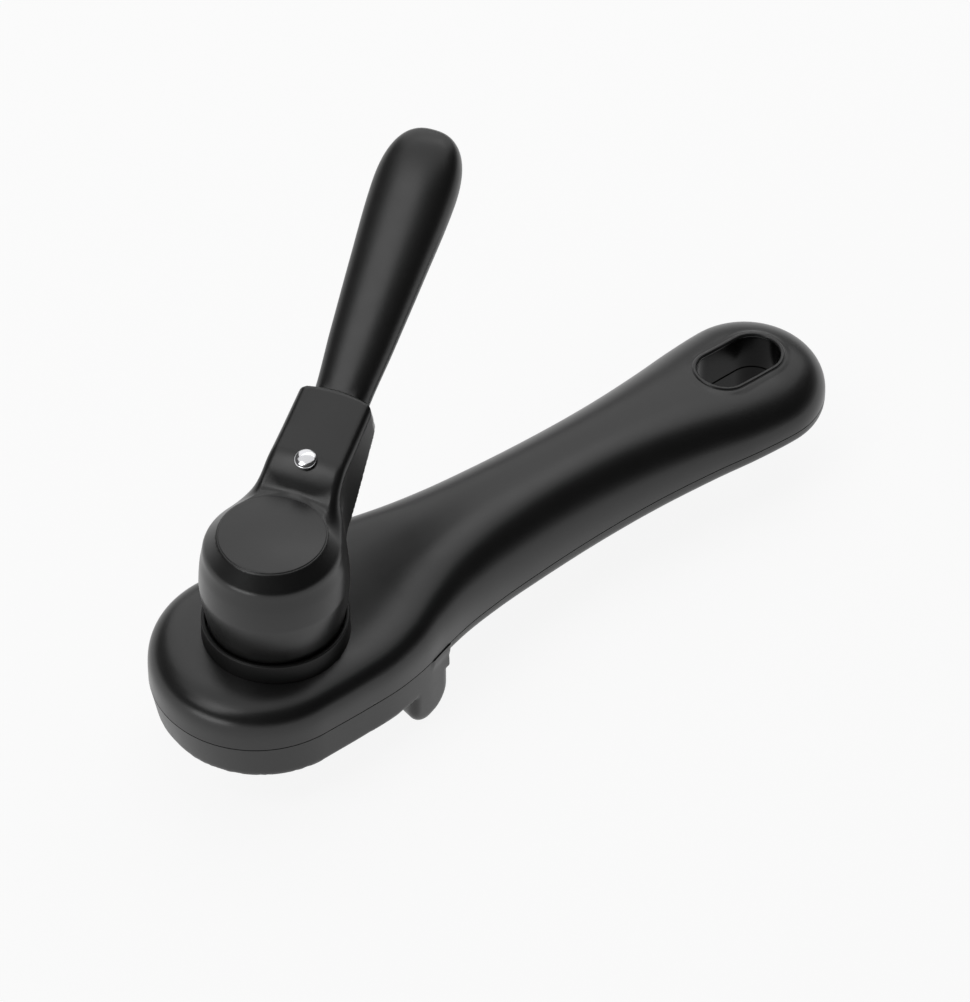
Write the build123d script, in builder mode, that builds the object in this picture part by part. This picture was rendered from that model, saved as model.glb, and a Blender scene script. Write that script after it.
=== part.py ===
import os
from math import atan, cos, pi, radians, sin

from build123d import *

os.makedirs("parts", exist_ok=True)

# Frame: origin on the crank axis at the flat underside of the head, X along the handle, Z up.
# All sizes are millimetres.

# Clearances
seam_gap = 0.30         # open line between the two housing shells
run_fit = 0.06          # radial clearance of turning shafts in their bores
slip_fit = 0.05         # clearance of parts that are put together and stay still
slide_gap = 0.10        # clearance beside and under the sliding carriage
free_gap = 0.40         # space between parts that pass each other

# Housing
wall = 2.2
head_half_w = 28.8
body_y = 1.3            # the housing's middle plane lies this far to the left of the crank axis
front_x = -5.0          # centre of the round front of the head
parting_z = 9.4
upper_z = parting_z + seam_gap
head_top_z = 23.3
end_x = 161.6           # centre of the round end of the handle
end_half_w = 21.9
head_rear_x = 39.8      # where the deep part of the lower shell stops
tongue_h = 1.5
tongue_t = 1.2
tongue_gap = 0.25

# Stations of the top: x, half width, top height, squareness of the section
upper_stations = (
    (front_x, head_half_w, head_top_z, 4.5),
    (8.0, head_half_w, head_top_z, 4.5),
    (20.0, 28.2, 23.5, 4.3),
    (30.0, 26.2, 24.6, 3.9),
    (39.0, 23.3, 26.2, 3.4),
    (48.0, 20.9, 27.6, 3.0),
    (60.0, 18.9, 28.5, 2.7),
    (76.0, 17.5, 28.6, 2.5),
    (96.0, 16.8, 27.8, 2.4),
    (116.0, 17.3, 26.3, 2.4),
    (136.0, 19.2, 24.2, 2.4),
    (150.0, 21.1, 22.6, 2.4),
    (end_x, end_half_w, 22.0, 2.4),
)
# Stations of the underside: x, half width, depth below the parting line, squareness
lower_stations = (
    (30.0, 23.0, 6.0, 3.4),
    (36.0, 23.0, 6.0, 3.4),
    (42.0, 22.1, 6.0, 3.4),
    (48.0, 20.9, 6.0, 3.4),
    (60.0, 18.9, 6.2, 3.4),
    (76.0, 17.5, 6.6, 3.4),
    (96.0, 16.8, 6.8, 3.4),
    (116.0, 17.3, 6.9, 3.4),
    (136.0, 19.2, 6.8, 3.4),
    (150.0, 21.1, 6.5, 3.4),
    (end_x, end_half_w, 6.2, 3.4),
)

# Hanging slot
slot_x = 158.5
slot_len = 26.0
slot_w = 14.6
slot_wall = 1.8
lip_w = 1.2
lip_top_z = 22.9

# Support leg beside the can rim
leg_x0 = 24.6
leg_depth = 11.8
leg_in_y = -19.4        # inner face of the leg
leg_round = 6.6
trim_x = head_rear_x + 9.0     # how far back the outline is followed to trim the tray

# Levels of the works inside the head
floor_z = wall
plate_t = 1.8
plate_half_w = 23.6
plate_z = floor_z + plate_t
slide_z0 = plate_z + slide_gap
slide_t = 3.0
slide_z1 = slide_z0 + slide_t
cam_z0 = 8.2
cam_t = 3.0
cam_z1 = cam_z0 + cam_t
flange_z0 = 12.75
flange_t = 2.25
flange_z1 = flange_z0 + flange_t

# Drive shaft and its bearings
shaft_r = 4.0
journal_r = 6.0
shaft_flange_r = 9.5
drive_sq = 8.4
feed_sq = 5.0
bush_r = 6.0
bush_flange_r = 7.6
bush_flange_t = 1.0
clip_groove_r = 3.4
clip_t = 0.7

# Collar that stands out of the head under the crank
collar_r = 19.3
collar_in_r = 18.1
collar_top_z = 29.1
collar_floor_z = 24.5
collar_flange_r = collar_r + 1.1
collar_seat_z = head_top_z - wall + 0.3
collar_flange_t = 2.2
collar_boss_r = 10.0

# Feed wheel and cutting wheel
feed_r = 5.5
feed_teeth = 18
feed_tooth_h = 0.55
feed_z0 = -8.6
feed_z1 = -4.4
cut_r = 8.6
cut_z0 = -7.6
cut_z1 = -5.4
cut_bore_r = 3.0
nip_closed = 1.1
cut_travel = 4.2
cut_x = -(feed_r + cut_r + nip_closed + cut_travel)
sleeve_r = 4.4
pin_r = 1.8
pin_x = cut_x + 7.3
clip_r = -pin_x - cut_travel - pin_r - free_gap  # clears the pin at the end of its travel
slide_half_w = 7.0
rail_w = 2.5
rail_lip = 1.2
rail_lip_t = 0.6
axle_end_z = -9.0
pin_gap = 0.20

# Cam that moves the carriage
cam_r = 15.5
cam_turn = 110.0

# Crank
crank_deg = 28.9
hub_bottom_z = 25.4
hub_low_r = 17.7
hub_low_z = 29.3
hub_mid_r = 19.2
hub_mid_z = 41.0
hub_top_r = 18.4
hub_top_z = 53.8
cap_seat_r = 14.0
cap_r = 13.86
cap_t = 1.5
cap_top_z = 58.1
well_r = 11.0
well_z = 48.0
drive_top_z = 44.0
arm_root_w = 21.6
arm_end_w = 20.0
grip_tilt = 33.0
plug_tilt = 22.0
plug_w = 13.0
plug_t = 8.0
plug_past = 0.8            # plug left beyond the rivet
rim_d = 44.4
rim_z = 66.2
rivet_d = 21.5
rivet_r = 1.5
rivet_head_r = 2.9
rivet_len = 15.5
arm_round = 4.0
grip_lift = -0.3
# Side view of the arm: distance along the crank, height
arm_foot = (17.6, 63.8)     # the two ends of the arm's flat top
arm_lip = (42.6, 71.0)
arm_outline = (
    (2.0, 32.0),
    (19.0, 37.0),
    (27.0, 42.0),
    (46.9, 60.2),
    arm_lip,
    arm_foot,
    (14.4, 57.4),
    (2.0, 54.0),
)
top_slope = (arm_lip[1] - arm_foot[1]) / (arm_lip[0] - arm_foot[0])
rivet_z = arm_foot[1] + top_slope * (rivet_d - arm_foot[0])
plug_len = (rim_d - rivet_d) / cos(radians(plug_tilt)) + rivet_r + plug_past
grip_len = 74.9
grip_nose = 11.9            # rounded end of the grip beyond its widest place
# Plan of the grip: distance from the rim, half width
grip_plan = (
    (-2.0, 7.3),
    (16.0, 8.6),
    (36.0, 10.0),
    (grip_len - grip_nose - 9.0, 11.1),
    (grip_len - grip_nose, 11.2),
)
grip_root_t = 8.6
grip_end_t = 14.6
grip_round = 4.0

# Screws
screw_r = 1.4
screw_head_r = 2.7
boss_r = 3.2
screw_cone_h = 1.4
screw_sink = 2.8
hub_screw_r = 2.0
feed_screw_r = 1.5
head_screw_spots = (
    (-17.5, body_y + 15.2),
    (-17.5, body_y - 15.2),
    (19.0, body_y + 20.2),
    (19.0, body_y - 20.2),
)
handle_screw_spots = ((92.0, 2.8, 26.4), (134.0, 2.6, 22.8))   # x, underside height, boss top


def arch(half_w, height, power, steps=8):
    """Points of a quarter superellipse from the foot to the crown."""
    points = []
    for i in range(steps + 1):
        t = pi / 2 * i / steps
        points.append((half_w * cos(t) ** (2 / power), height * sin(t) ** (2 / power)))
    points[0] = (half_w, 0)
    points[-1] = (0, height)
    return points


def section_plane(x, z):
    """A plane across the handle: first axis along Y, second axis along Z."""
    return Plane(origin=(x, body_y, z), x_dir=(0, 1, 0), z_dir=(1, 0, 0))


def outline_points(inset):
    """Points along the two sides of the outline from above, moved inward by inset."""
    right = [(x, body_y - half_w + inset) for x, half_w, top, power in upper_stations]
    left = [(x, body_y + half_w - inset) for x, half_w, top, power in reversed(upper_stations)]
    return right, left


mid_plane = Plane.XZ.offset(-body_y)
front_axis = Axis((front_x, body_y, 0), (0, 0, 1))
end_axis = Axis((end_x, body_y, 0), (0, 0, -1))
upper_ends = (
    upper_stations[0] + (front_axis,),
    upper_stations[-1] + (end_axis,),
)

# Upper housing: a shell with a flat head, an arched handle and a round end, made as one half
# and mirrored
with BuildPart() as upper_housing:
    for inset, cut in ((0, Mode.ADD), (wall, Mode.SUBTRACT)):
        for x, half_w, top, power in upper_stations:
            half = arch(half_w - inset, top - upper_z - inset, power)
            with BuildSketch(section_plane(x, upper_z)):
                with BuildLine():
                    Spline(*half, tangents=((0, 1), (-1, 0)))
                    Polyline(half[-1], (0, 0), half[0])
                make_face()
        loft(mode=cut)
        for x, half_w, top, power, axis in upper_ends:
            half = arch(half_w - inset, top - upper_z - inset, power)
            with BuildSketch(section_plane(x, upper_z)):
                with BuildLine():
                    Spline(*half, tangents=((0, 1), (-1, 0)))
                    Polyline(half[-1], (0, 0), half[0])
                make_face()
            revolve(axis=axis, revolution_arc=90, mode=cut)
    mirror(about=mid_plane)
    # screw posts
    with BuildSketch(Plane.XY.offset(plate_z)):
        with Locations(*head_screw_spots):
            Circle(boss_r)
    extrude(amount=20.5 - plate_z)
    for x, under, top in handle_screw_spots:
        with BuildSketch(Plane.XY.offset(parting_z)):
            with Locations((x, body_y)):
                Circle(boss_r + 0.4)
        extrude(amount=top - parting_z)
    # seat and hole of the collar
    with BuildSketch(Plane.XY.offset(upper_z)):
        Circle(collar_flange_r + free_gap)
    extrude(amount=collar_seat_z - upper_z, mode=Mode.SUBTRACT)
    with BuildSketch(Plane.XY.offset(upper_z)):
        Circle(collar_r + slip_fit)
    extrude(amount=20, mode=Mode.SUBTRACT)
    # hanging slot with its wall and lip
    with BuildSketch(Plane.XY.offset(upper_z)):
        with Locations((slot_x, body_y)):
            SlotOverall(slot_len + 2 * slot_wall, slot_w + 2 * slot_wall)
    extrude(amount=20.4 - upper_z)
    with BuildSketch(Plane.XY.offset(19.5)):
        with Locations((slot_x, body_y)):
            SlotOverall(slot_len + 2 * lip_w, slot_w + 2 * lip_w)
    extrude(amount=lip_top_z - 19.5)
    with BuildSketch(Plane.XY.offset(upper_z)):
        with Locations((slot_x, body_y)):
            SlotOverall(slot_len, slot_w)
    extrude(amount=20, mode=Mode.SUBTRACT)
    # pilot holes
    with BuildSketch(Plane.XY.offset(plate_z)):
        with Locations(*head_screw_spots):
            Circle(screw_r + slip_fit)
    extrude(amount=12.2, mode=Mode.SUBTRACT)
    with BuildSketch(Plane.XY.offset(parting_z)):
        with Locations(*[(x, body_y) for x, under, top in handle_screw_spots]):
            Circle(screw_r + slip_fit)
    extrude(amount=9.2, mode=Mode.SUBTRACT)
upper_housing.part.label = "upper_housing"

# Lower housing: a deep tray under the head, a shallow rounded trough under the handle, and the leg
with BuildPart() as lower_housing:
    for inset, cut in ((0, Mode.ADD), (wall, Mode.SUBTRACT)):
        for x, half_w, depth, power in lower_stations:
            half = [(y, -z) for y, z in reversed(arch(half_w - inset, depth - inset, power))]
            with BuildSketch(section_plane(x, parting_z)):
                with BuildLine():
                    Spline(*half, tangents=((1, 0), (0, 1)))
                    Polyline(half[-1], (0, 0), half[0])
                make_face()
        loft(mode=cut)
        with BuildSketch(section_plane(end_x, parting_z)):
            with BuildLine():
                Spline(*half, tangents=((1, 0), (0, 1)))
                Polyline(half[-1], (0, 0), half[0])
            make_face()
        revolve(axis=end_axis, revolution_arc=90, mode=cut)
    mirror(about=mid_plane)
    # deep tray under the head
    for inset, z, cut in ((0, 0, Mode.ADD), (wall, floor_z, Mode.SUBTRACT)):
        w = head_half_w - inset
        rear = head_rear_x - inset
        right, left = [[p for p in side if p[0] < trim_x] for side in outline_points(inset)]
        with BuildSketch(Plane.XY.offset(z)):
            with BuildLine():
                ThreePointArc(left[-1], (front_x - w, body_y), right[0])
                Spline(*right)
                Line(right[-1], left[0])
                Spline(*left)
            make_face()
            with Locations((rear, body_y)):
                Rectangle(100, 100, align=(Align.MIN, Align.CENTER), mode=Mode.SUBTRACT)
        extrude(amount=parting_z - z, mode=cut)
    # support leg, trimmed flush with the side of the head
    with BuildSketch(Plane.XZ.offset(-leg_in_y)):
        with Locations(((leg_x0 + head_rear_x) / 2, floor_z)):
            leg_shape = Rectangle(head_rear_x - leg_x0, leg_depth + floor_z, align=(Align.CENTER, Align.MAX))
        fillet(leg_shape.vertices().group_by(Axis.Y)[0], leg_round)
    extrude(amount=8)
    right = [p for p in outline_points(0)[0] if p[0] < trim_x]
    with BuildSketch(Plane.XY.offset(-leg_depth - 1)):
        with BuildLine():
            Spline(*right)
            Polyline(right[-1], (right[-1][0], -40), (front_x, -40), right[0])
        make_face()
    extrude(amount=leg_depth + 1 + parting_z, mode=Mode.SUBTRACT)
    # screw sleeves in the handle
    for x, under, top in handle_screw_spots:
        with BuildSketch(Plane.XY.offset(under + 1.2)):
            with Locations((x, body_y)):
                Circle(boss_r + 1.2)
        extrude(amount=parting_z - under - 1.2)
    # wall of the hanging slot
    with BuildSketch(Plane.XY.offset(parting_z - 4.6)):
        with Locations((slot_x, body_y)):
            SlotOverall(slot_len + 2 * slot_wall, slot_w + 2 * slot_wall)
    extrude(amount=4.6)
    with BuildSketch(Plane.XY):
        with Locations((slot_x, body_y)):
            SlotOverall(slot_len, slot_w)
    extrude(amount=parting_z, mode=Mode.SUBTRACT)
    # tongue that closes the parting line from inside
    inset_in = wall + tongue_gap + tongue_t
    right_in, left_in = outline_points(inset_in)
    w_in = head_half_w - inset_in
    e_in = end_half_w - inset_in
    for inset, z, h in ((wall / 2, parting_z - 1.6, 1.6), (wall + tongue_gap, parting_z, tongue_h)):
        right, left = outline_points(inset)
        w = head_half_w - inset
        e = end_half_w - inset
        with BuildSketch(Plane.XY.offset(z)):
            with BuildLine():
                ThreePointArc(left[-1], (front_x - w, body_y), right[0])
                Spline(*right, tangents=((1, 0), (1, 0)))
                ThreePointArc(right[-1], (end_x + e, body_y), left[0])
                Spline(*left, tangents=((-1, 0), (-1, 0)))
            make_face()
            with BuildLine():
                ThreePointArc(left_in[-1], (front_x - w_in, body_y), right_in[0])
                Spline(*right_in, tangents=((1, 0), (1, 0)))
                ThreePointArc(right_in[-1], (end_x + e_in, body_y), left_in[0])
                Spline(*left_in, tangents=((-1, 0), (-1, 0)))
            make_face(mode=Mode.SUBTRACT)
        extrude(amount=h)
    # holes for the shaft bush, the cutter sleeve and the screws
    with BuildSketch(Plane.XY):
        Circle(bush_r + slip_fit)
        with Locations((cut_x + cut_travel / 2, 0)):
            SlotOverall(2 * (sleeve_r + free_gap) + cut_travel, 2 * (sleeve_r + free_gap))
        with Locations(*head_screw_spots):
            Circle(screw_r + slip_fit)
    extrude(amount=floor_z, mode=Mode.SUBTRACT)
    for x, y in head_screw_spots:
        with Locations((x, y, 0)):
            Cone(
                screw_head_r + slip_fit,
                screw_r + slip_fit,
                screw_cone_h,
                align=(Align.CENTER, Align.CENTER, Align.MIN),
                mode=Mode.SUBTRACT,
            )
    for x, under, top in handle_screw_spots:
        with BuildSketch(Plane.XY):
            with Locations((x, body_y)):
                Circle(screw_r + slip_fit)
        extrude(amount=parting_z, mode=Mode.SUBTRACT)
        with BuildSketch(Plane.XY):
            with Locations((x, body_y)):
                Circle(screw_head_r + 0.3)
        extrude(amount=under + screw_sink, mode=Mode.SUBTRACT)
lower_housing.part.label = "lower_housing"

# Screws: four flat heads under the head, two pan heads in the handle
with BuildPart() as housing_screws:
    for x, y in head_screw_spots:
        with Locations((x, y, 0)):
            Cone(screw_head_r, screw_r, screw_cone_h, align=(Align.CENTER, Align.CENTER, Align.MIN))
            Cylinder(screw_r, 15.0, align=(Align.CENTER, Align.CENTER, Align.MIN))
        with BuildSketch(Plane.XY):
            with Locations((x, y)):
                Rectangle(2.6, 0.6)
                Rectangle(0.6, 2.6)
        extrude(amount=0.8, mode=Mode.SUBTRACT)
    for x, under, top in handle_screw_spots:
        with Locations((x, body_y, under + screw_sink)):
            Cylinder(screw_head_r, 1.8, align=(Align.CENTER, Align.CENTER, Align.MAX))
            Cylinder(screw_r, 12.0, align=(Align.CENTER, Align.CENTER, Align.MIN))
        with BuildSketch(Plane.XY.offset(under + screw_sink - 1.8)):
            with Locations((x, body_y)):
                Rectangle(2.8, 0.7)
                Rectangle(0.7, 2.8)
        extrude(amount=1.0, mode=Mode.SUBTRACT)
housing_screws.part.label = "housing_screws"

# Steel plate on the floor of the tray
with BuildPart() as bearing_plate:
    with BuildSketch(Plane.XY.offset(floor_z)):
        with Locations((front_x, body_y)):
            Circle(plate_half_w)
            Rectangle(27.5, 2 * plate_half_w, align=(Align.MIN, Align.CENTER))
        Circle(bush_r + slip_fit, mode=Mode.SUBTRACT)
        with Locations((cut_x + cut_travel / 2, 0)):
            SlotOverall(
                2 * (sleeve_r + free_gap) + cut_travel, 2 * (sleeve_r + free_gap), mode=Mode.SUBTRACT
            )
        with Locations(*head_screw_spots):
            Circle(screw_r + 0.2, mode=Mode.SUBTRACT)
    extrude(amount=plate_t)
bearing_plate.part.label = "bearing_plate"

# Flanged bush for the lower end of the shaft
with BuildPart() as shaft_bush:
    Cylinder(bush_r, plate_z, align=(Align.CENTER, Align.CENTER, Align.MIN))
    Cylinder(bush_flange_r, bush_flange_t, align=(Align.CENTER, Align.CENTER, Align.MAX))
    with BuildSketch(Plane.XY.offset(-bush_flange_t)):
        Circle(shaft_r + run_fit)
    extrude(amount=plate_z + bush_flange_t, mode=Mode.SUBTRACT)
shaft_bush.part.label = "shaft_bush"

# Two angle rails that guide the carriage
rail_in = slide_half_w + slide_gap
with BuildPart() as slide_rails:
    for side in (1, -1):
        with BuildSketch(Plane.XY.offset(plate_z)):
            with Locations((cut_x + 3.6, side * (rail_in + rail_w / 2))):
                Rectangle(19.0, rail_w)
        extrude(amount=slide_z1 + slide_gap + rail_lip_t - plate_z)
        with BuildSketch(Plane.XY.offset(slide_z1 + slide_gap)):
            with Locations((cut_x + 3.6, side * (rail_in - rail_lip / 2))):
                Rectangle(19.0, rail_lip)
        extrude(amount=rail_lip_t)
slide_rails.part.label = "slide_rails"

# Carriage plate of the cutting wheel
with BuildPart() as cutter_slide:
    with BuildSketch(Plane.XY.offset(slide_z0)):
        with Locations(((cut_x - 6.2 + pin_x + 2.7) / 2, 0)):
            RectangleRounded(pin_x + 2.7 - cut_x + 6.2, 2 * slide_half_w, 2.0)
        with Locations((cut_x, 0)):
            Circle(cut_bore_r, mode=Mode.SUBTRACT)
        with Locations((pin_x, 0)):
            Circle(pin_r, mode=Mode.SUBTRACT)
    extrude(amount=slide_t)
cutter_slide.part.label = "cutter_slide"

with BuildPart() as follower_pin:
    with BuildSketch(Plane.XY.offset(slide_z0)):
        with Locations((pin_x, 0)):
            Circle(pin_r)
    extrude(amount=cam_z1 - free_gap - slide_z0)
follower_pin.part.label = "follower_pin"

with BuildPart() as cutter_axle:
    with BuildSketch(Plane.XY.offset(axle_end_z)):
        with Locations((cut_x, 0)):
            Circle(cut_bore_r)
    extrude(amount=slide_z1 - axle_end_z)
    with BuildSketch(Plane.XY.offset(cut_z0 - slide_gap - clip_t)):
        with Locations((cut_x, 0)):
            Circle(cut_bore_r)
            Circle(cut_bore_r - 0.6, mode=Mode.SUBTRACT)
    extrude(amount=clip_t, mode=Mode.SUBTRACT)
    chamfer(cutter_axle.edges().group_by(Axis.Z)[0], 0.4)
cutter_axle.part.label = "cutter_axle"

with BuildPart() as cutter_sleeve:
    with BuildSketch(Plane.XY.offset(cut_z1 + slide_gap)):
        with Locations((cut_x, 0)):
            Circle(sleeve_r)
            Circle(cut_bore_r + slip_fit, mode=Mode.SUBTRACT)
    extrude(amount=slide_z0 - cut_z1 - slide_gap)
cutter_sleeve.part.label = "cutter_sleeve"

with BuildPart() as axle_clip:
    with BuildSketch(Plane.XY.offset(cut_z0 - slide_gap - clip_t)):
        with Locations((cut_x, 0)):
            Circle(cut_bore_r + 1.8)
            Circle(cut_bore_r - 0.6, mode=Mode.SUBTRACT)
        with Locations((cut_x - 3.0, 0)):
            Rectangle(6.0, 3.0, mode=Mode.SUBTRACT)
    extrude(amount=clip_t)
axle_clip.part.label = "axle_clip"

# Cutting wheel with an edge bevelled from both faces
with BuildPart() as cutting_wheel:
    mid_z = (cut_z0 + cut_z1) / 2
    with BuildSketch(Plane.XZ):
        with BuildLine():
            Polyline(
                (cut_x + cut_bore_r + run_fit, cut_z0),
                (cut_x + cut_r - 2.4, cut_z0),
                (cut_x + cut_r, mid_z - 0.1),
                (cut_x + cut_r, mid_z + 0.1),
                (cut_x + cut_r - 2.4, cut_z1),
                (cut_x + cut_bore_r + run_fit, cut_z1),
                close=True,
            )
        make_face()
    revolve(axis=Axis((cut_x, 0, 0), (0, 0, 1)))
cutting_wheel.part.label = "cutting_wheel"

# Drive shaft, turned in steps, square at both ends
with BuildPart() as drive_shaft:
    with BuildSketch(Plane.XY.offset(feed_z0)):
        Rectangle(feed_sq, feed_sq)
    extrude(amount=-bush_flange_t - slide_gap - feed_z0)
    for r, z0, z1 in (
        (shaft_r, -bush_flange_t - slide_gap, flange_z0),
        (shaft_flange_r, flange_z0, flange_z1),
        (journal_r, flange_z1, collar_floor_z + slide_gap),
    ):
        with BuildSketch(Plane.XY.offset(z0)):
            Circle(r)
        extrude(amount=z1 - z0)
    with BuildSketch(Plane.XY.offset(collar_floor_z + slide_gap)):
        Rectangle(drive_sq, drive_sq)
    extrude(amount=drive_top_z - collar_floor_z - slide_gap)
    with BuildSketch(Plane.XY.offset(cam_z0 - slide_gap - clip_t)):
        Circle(shaft_r)
        Circle(clip_groove_r, mode=Mode.SUBTRACT)
    extrude(amount=clip_t, mode=Mode.SUBTRACT)
    with BuildSketch(Plane.XY.offset(drive_top_z)):
        Circle(hub_screw_r + slip_fit)
    extrude(amount=-15, mode=Mode.SUBTRACT)
    with BuildSketch(Plane.XY.offset(feed_z0)):
        Circle(feed_screw_r + slip_fit)
    extrude(amount=8.0, mode=Mode.SUBTRACT)
drive_shaft.part.label = "drive_shaft"

# Toothed feed wheel that grips the can rim
with BuildPart() as feed_wheel:
    with BuildSketch(Plane.XY.offset(feed_z0)):
        Circle(feed_r - feed_tooth_h)
        with PolarLocations(feed_r - feed_tooth_h - 0.1, feed_teeth):
            Polygon(
                (0, -0.8), (feed_tooth_h + 0.1, -0.22), (feed_tooth_h + 0.1, 0.22), (0, 0.8), align=None
            )
        Rectangle(feed_sq + 2 * slip_fit, feed_sq + 2 * slip_fit, mode=Mode.SUBTRACT)
    extrude(amount=feed_z1 - feed_z0)
    with BuildSketch(Plane.XY.offset(feed_z1)):
        Circle(feed_r - 0.9)
        Rectangle(feed_sq + 2 * slip_fit, feed_sq + 2 * slip_fit, mode=Mode.SUBTRACT)
    extrude(amount=-bush_flange_t - slide_gap - feed_z1)
feed_wheel.part.label = "feed_wheel"

with BuildPart() as feed_screw:
    with BuildSketch(Plane.XY.offset(feed_z0)):
        Circle(feed_screw_r)
    extrude(amount=7.0)
    with BuildSketch(Plane.XY.offset(feed_z0)):
        Circle(4.3)
    extrude(amount=-1.6)
    fillet(feed_screw.edges().group_by(Axis.Z)[0], 0.6)
    with BuildSketch(Plane.XY.offset(feed_z0 - 1.6)):
        Rectangle(8.0, 0.9)
    extrude(amount=0.8, mode=Mode.SUBTRACT)
feed_screw.part.label = "feed_screw"

with BuildPart() as cam_clip:
    with BuildSketch(Plane.XY.offset(cam_z0 - slide_gap - clip_t)):
        Circle(clip_r)
        Circle(clip_groove_r, mode=Mode.SUBTRACT)
        with Locations((3.5, 0)):
            Rectangle(7.0, 4.0, mode=Mode.SUBTRACT)
    extrude(amount=clip_t)
cam_clip.part.label = "cam_clip"

# Cam disc with a spiral slot: the slot runs in by the carriage travel over the cam's turn
with BuildPart() as cam_disc:
    with BuildSketch(Plane.XY.offset(cam_z0)):
        Circle(cam_r)
        Circle(shaft_r + run_fit, mode=Mode.SUBTRACT)
    extrude(amount=cam_t)
    over = 4.0
    steps = 14
    path = []
    for i in range(steps + 1):
        turn = -over + (cam_turn + 2 * over) * i / steps
        r = -pin_x - cut_travel * turn / cam_turn
        a = radians(180 + turn)
        path.append((r * cos(a), r * sin(a)))
    with BuildSketch(Plane.XY.offset(cam_z0)):
        with BuildLine():
            Spline(*path)
        trace(line_width=2 * (pin_r + pin_gap))
        with Locations(path[0], path[-1]):
            Circle(pin_r + pin_gap)
    extrude(amount=cam_t, mode=Mode.SUBTRACT)
cam_disc.part.label = "cam_disc"

with BuildPart() as friction_washer:
    with BuildSketch(Plane.XY.offset(cam_z1 + slide_gap)):
        Circle(8.6)
        Circle(shaft_r + 0.3, mode=Mode.SUBTRACT)
    extrude(amount=flange_z0 - cam_z1 - slide_gap)
friction_washer.part.label = "friction_washer"

# Collar: a bearing for the shaft with a raised rim around the foot of the crank
with BuildPart() as shaft_collar:
    with BuildSketch(Plane.XZ):
        with BuildLine():
            Polyline(
                (journal_r + run_fit, flange_z1 + slide_gap),
                (collar_boss_r, flange_z1 + slide_gap),
                (collar_boss_r, collar_seat_z - collar_flange_t),
                (collar_flange_r, collar_seat_z - collar_flange_t),
                (collar_flange_r, collar_seat_z),
                (collar_r, collar_seat_z),
                (collar_r, collar_top_z),
                (collar_in_r, collar_top_z),
                (collar_in_r, collar_floor_z),
                (journal_r + run_fit, collar_floor_z),
                close=True,
            )
        make_face()
    revolve(axis=Axis.Z)
    rim = shaft_collar.edges().group_by(Axis.Z)[-1].sort_by(SortBy.RADIUS)
    fillet(rim[-1], 0.7)
    fillet(shaft_collar.edges().group_by(Axis.Z)[-1].sort_by(SortBy.RADIUS)[0], 0.25)
shaft_collar.part.label = "shaft_collar"

# Crank hub: an arm cut from its side view, a barrel turned about the axis, and the socket
crank_dir = (cos(radians(crank_deg)), sin(radians(crank_deg)), 0)
crank_side = (sin(radians(crank_deg)), -cos(radians(crank_deg)), 0)
arm_plane = Plane(origin=(0, 0, 0), x_dir=crank_dir, z_dir=crank_side)
arm_top = Plane(origin=(0, 0, 0), x_dir=crank_dir, z_dir=(0, 0, 1))


def in_arm(d, z):
    """The point at distance d along the crank and height z."""
    return (d * crank_dir[0], d * crank_dir[1], z)


def tilted(d, z, tilt):
    """A plane at a point of the crank facing outward along a line tilted up by tilt degrees."""
    a = radians(tilt)
    out = (cos(a) * crank_dir[0], cos(a) * crank_dir[1], sin(a))
    return Plane(origin=in_arm(d, z), x_dir=crank_side, z_dir=out)


mouth_t = grip_plan[0][0] - 0.3
mouth_at = (
    rim_d + mouth_t * cos(radians(grip_tilt)),
    rim_z + grip_lift + mouth_t * sin(radians(grip_tilt)),
)
rivet_a = atan(top_slope)
rivet_plane = Plane(
    origin=in_arm(rivet_d, rivet_z),
    x_dir=crank_side,
    z_dir=(-sin(rivet_a) * crank_dir[0], -sin(rivet_a) * crank_dir[1], cos(rivet_a)),
)

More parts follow.
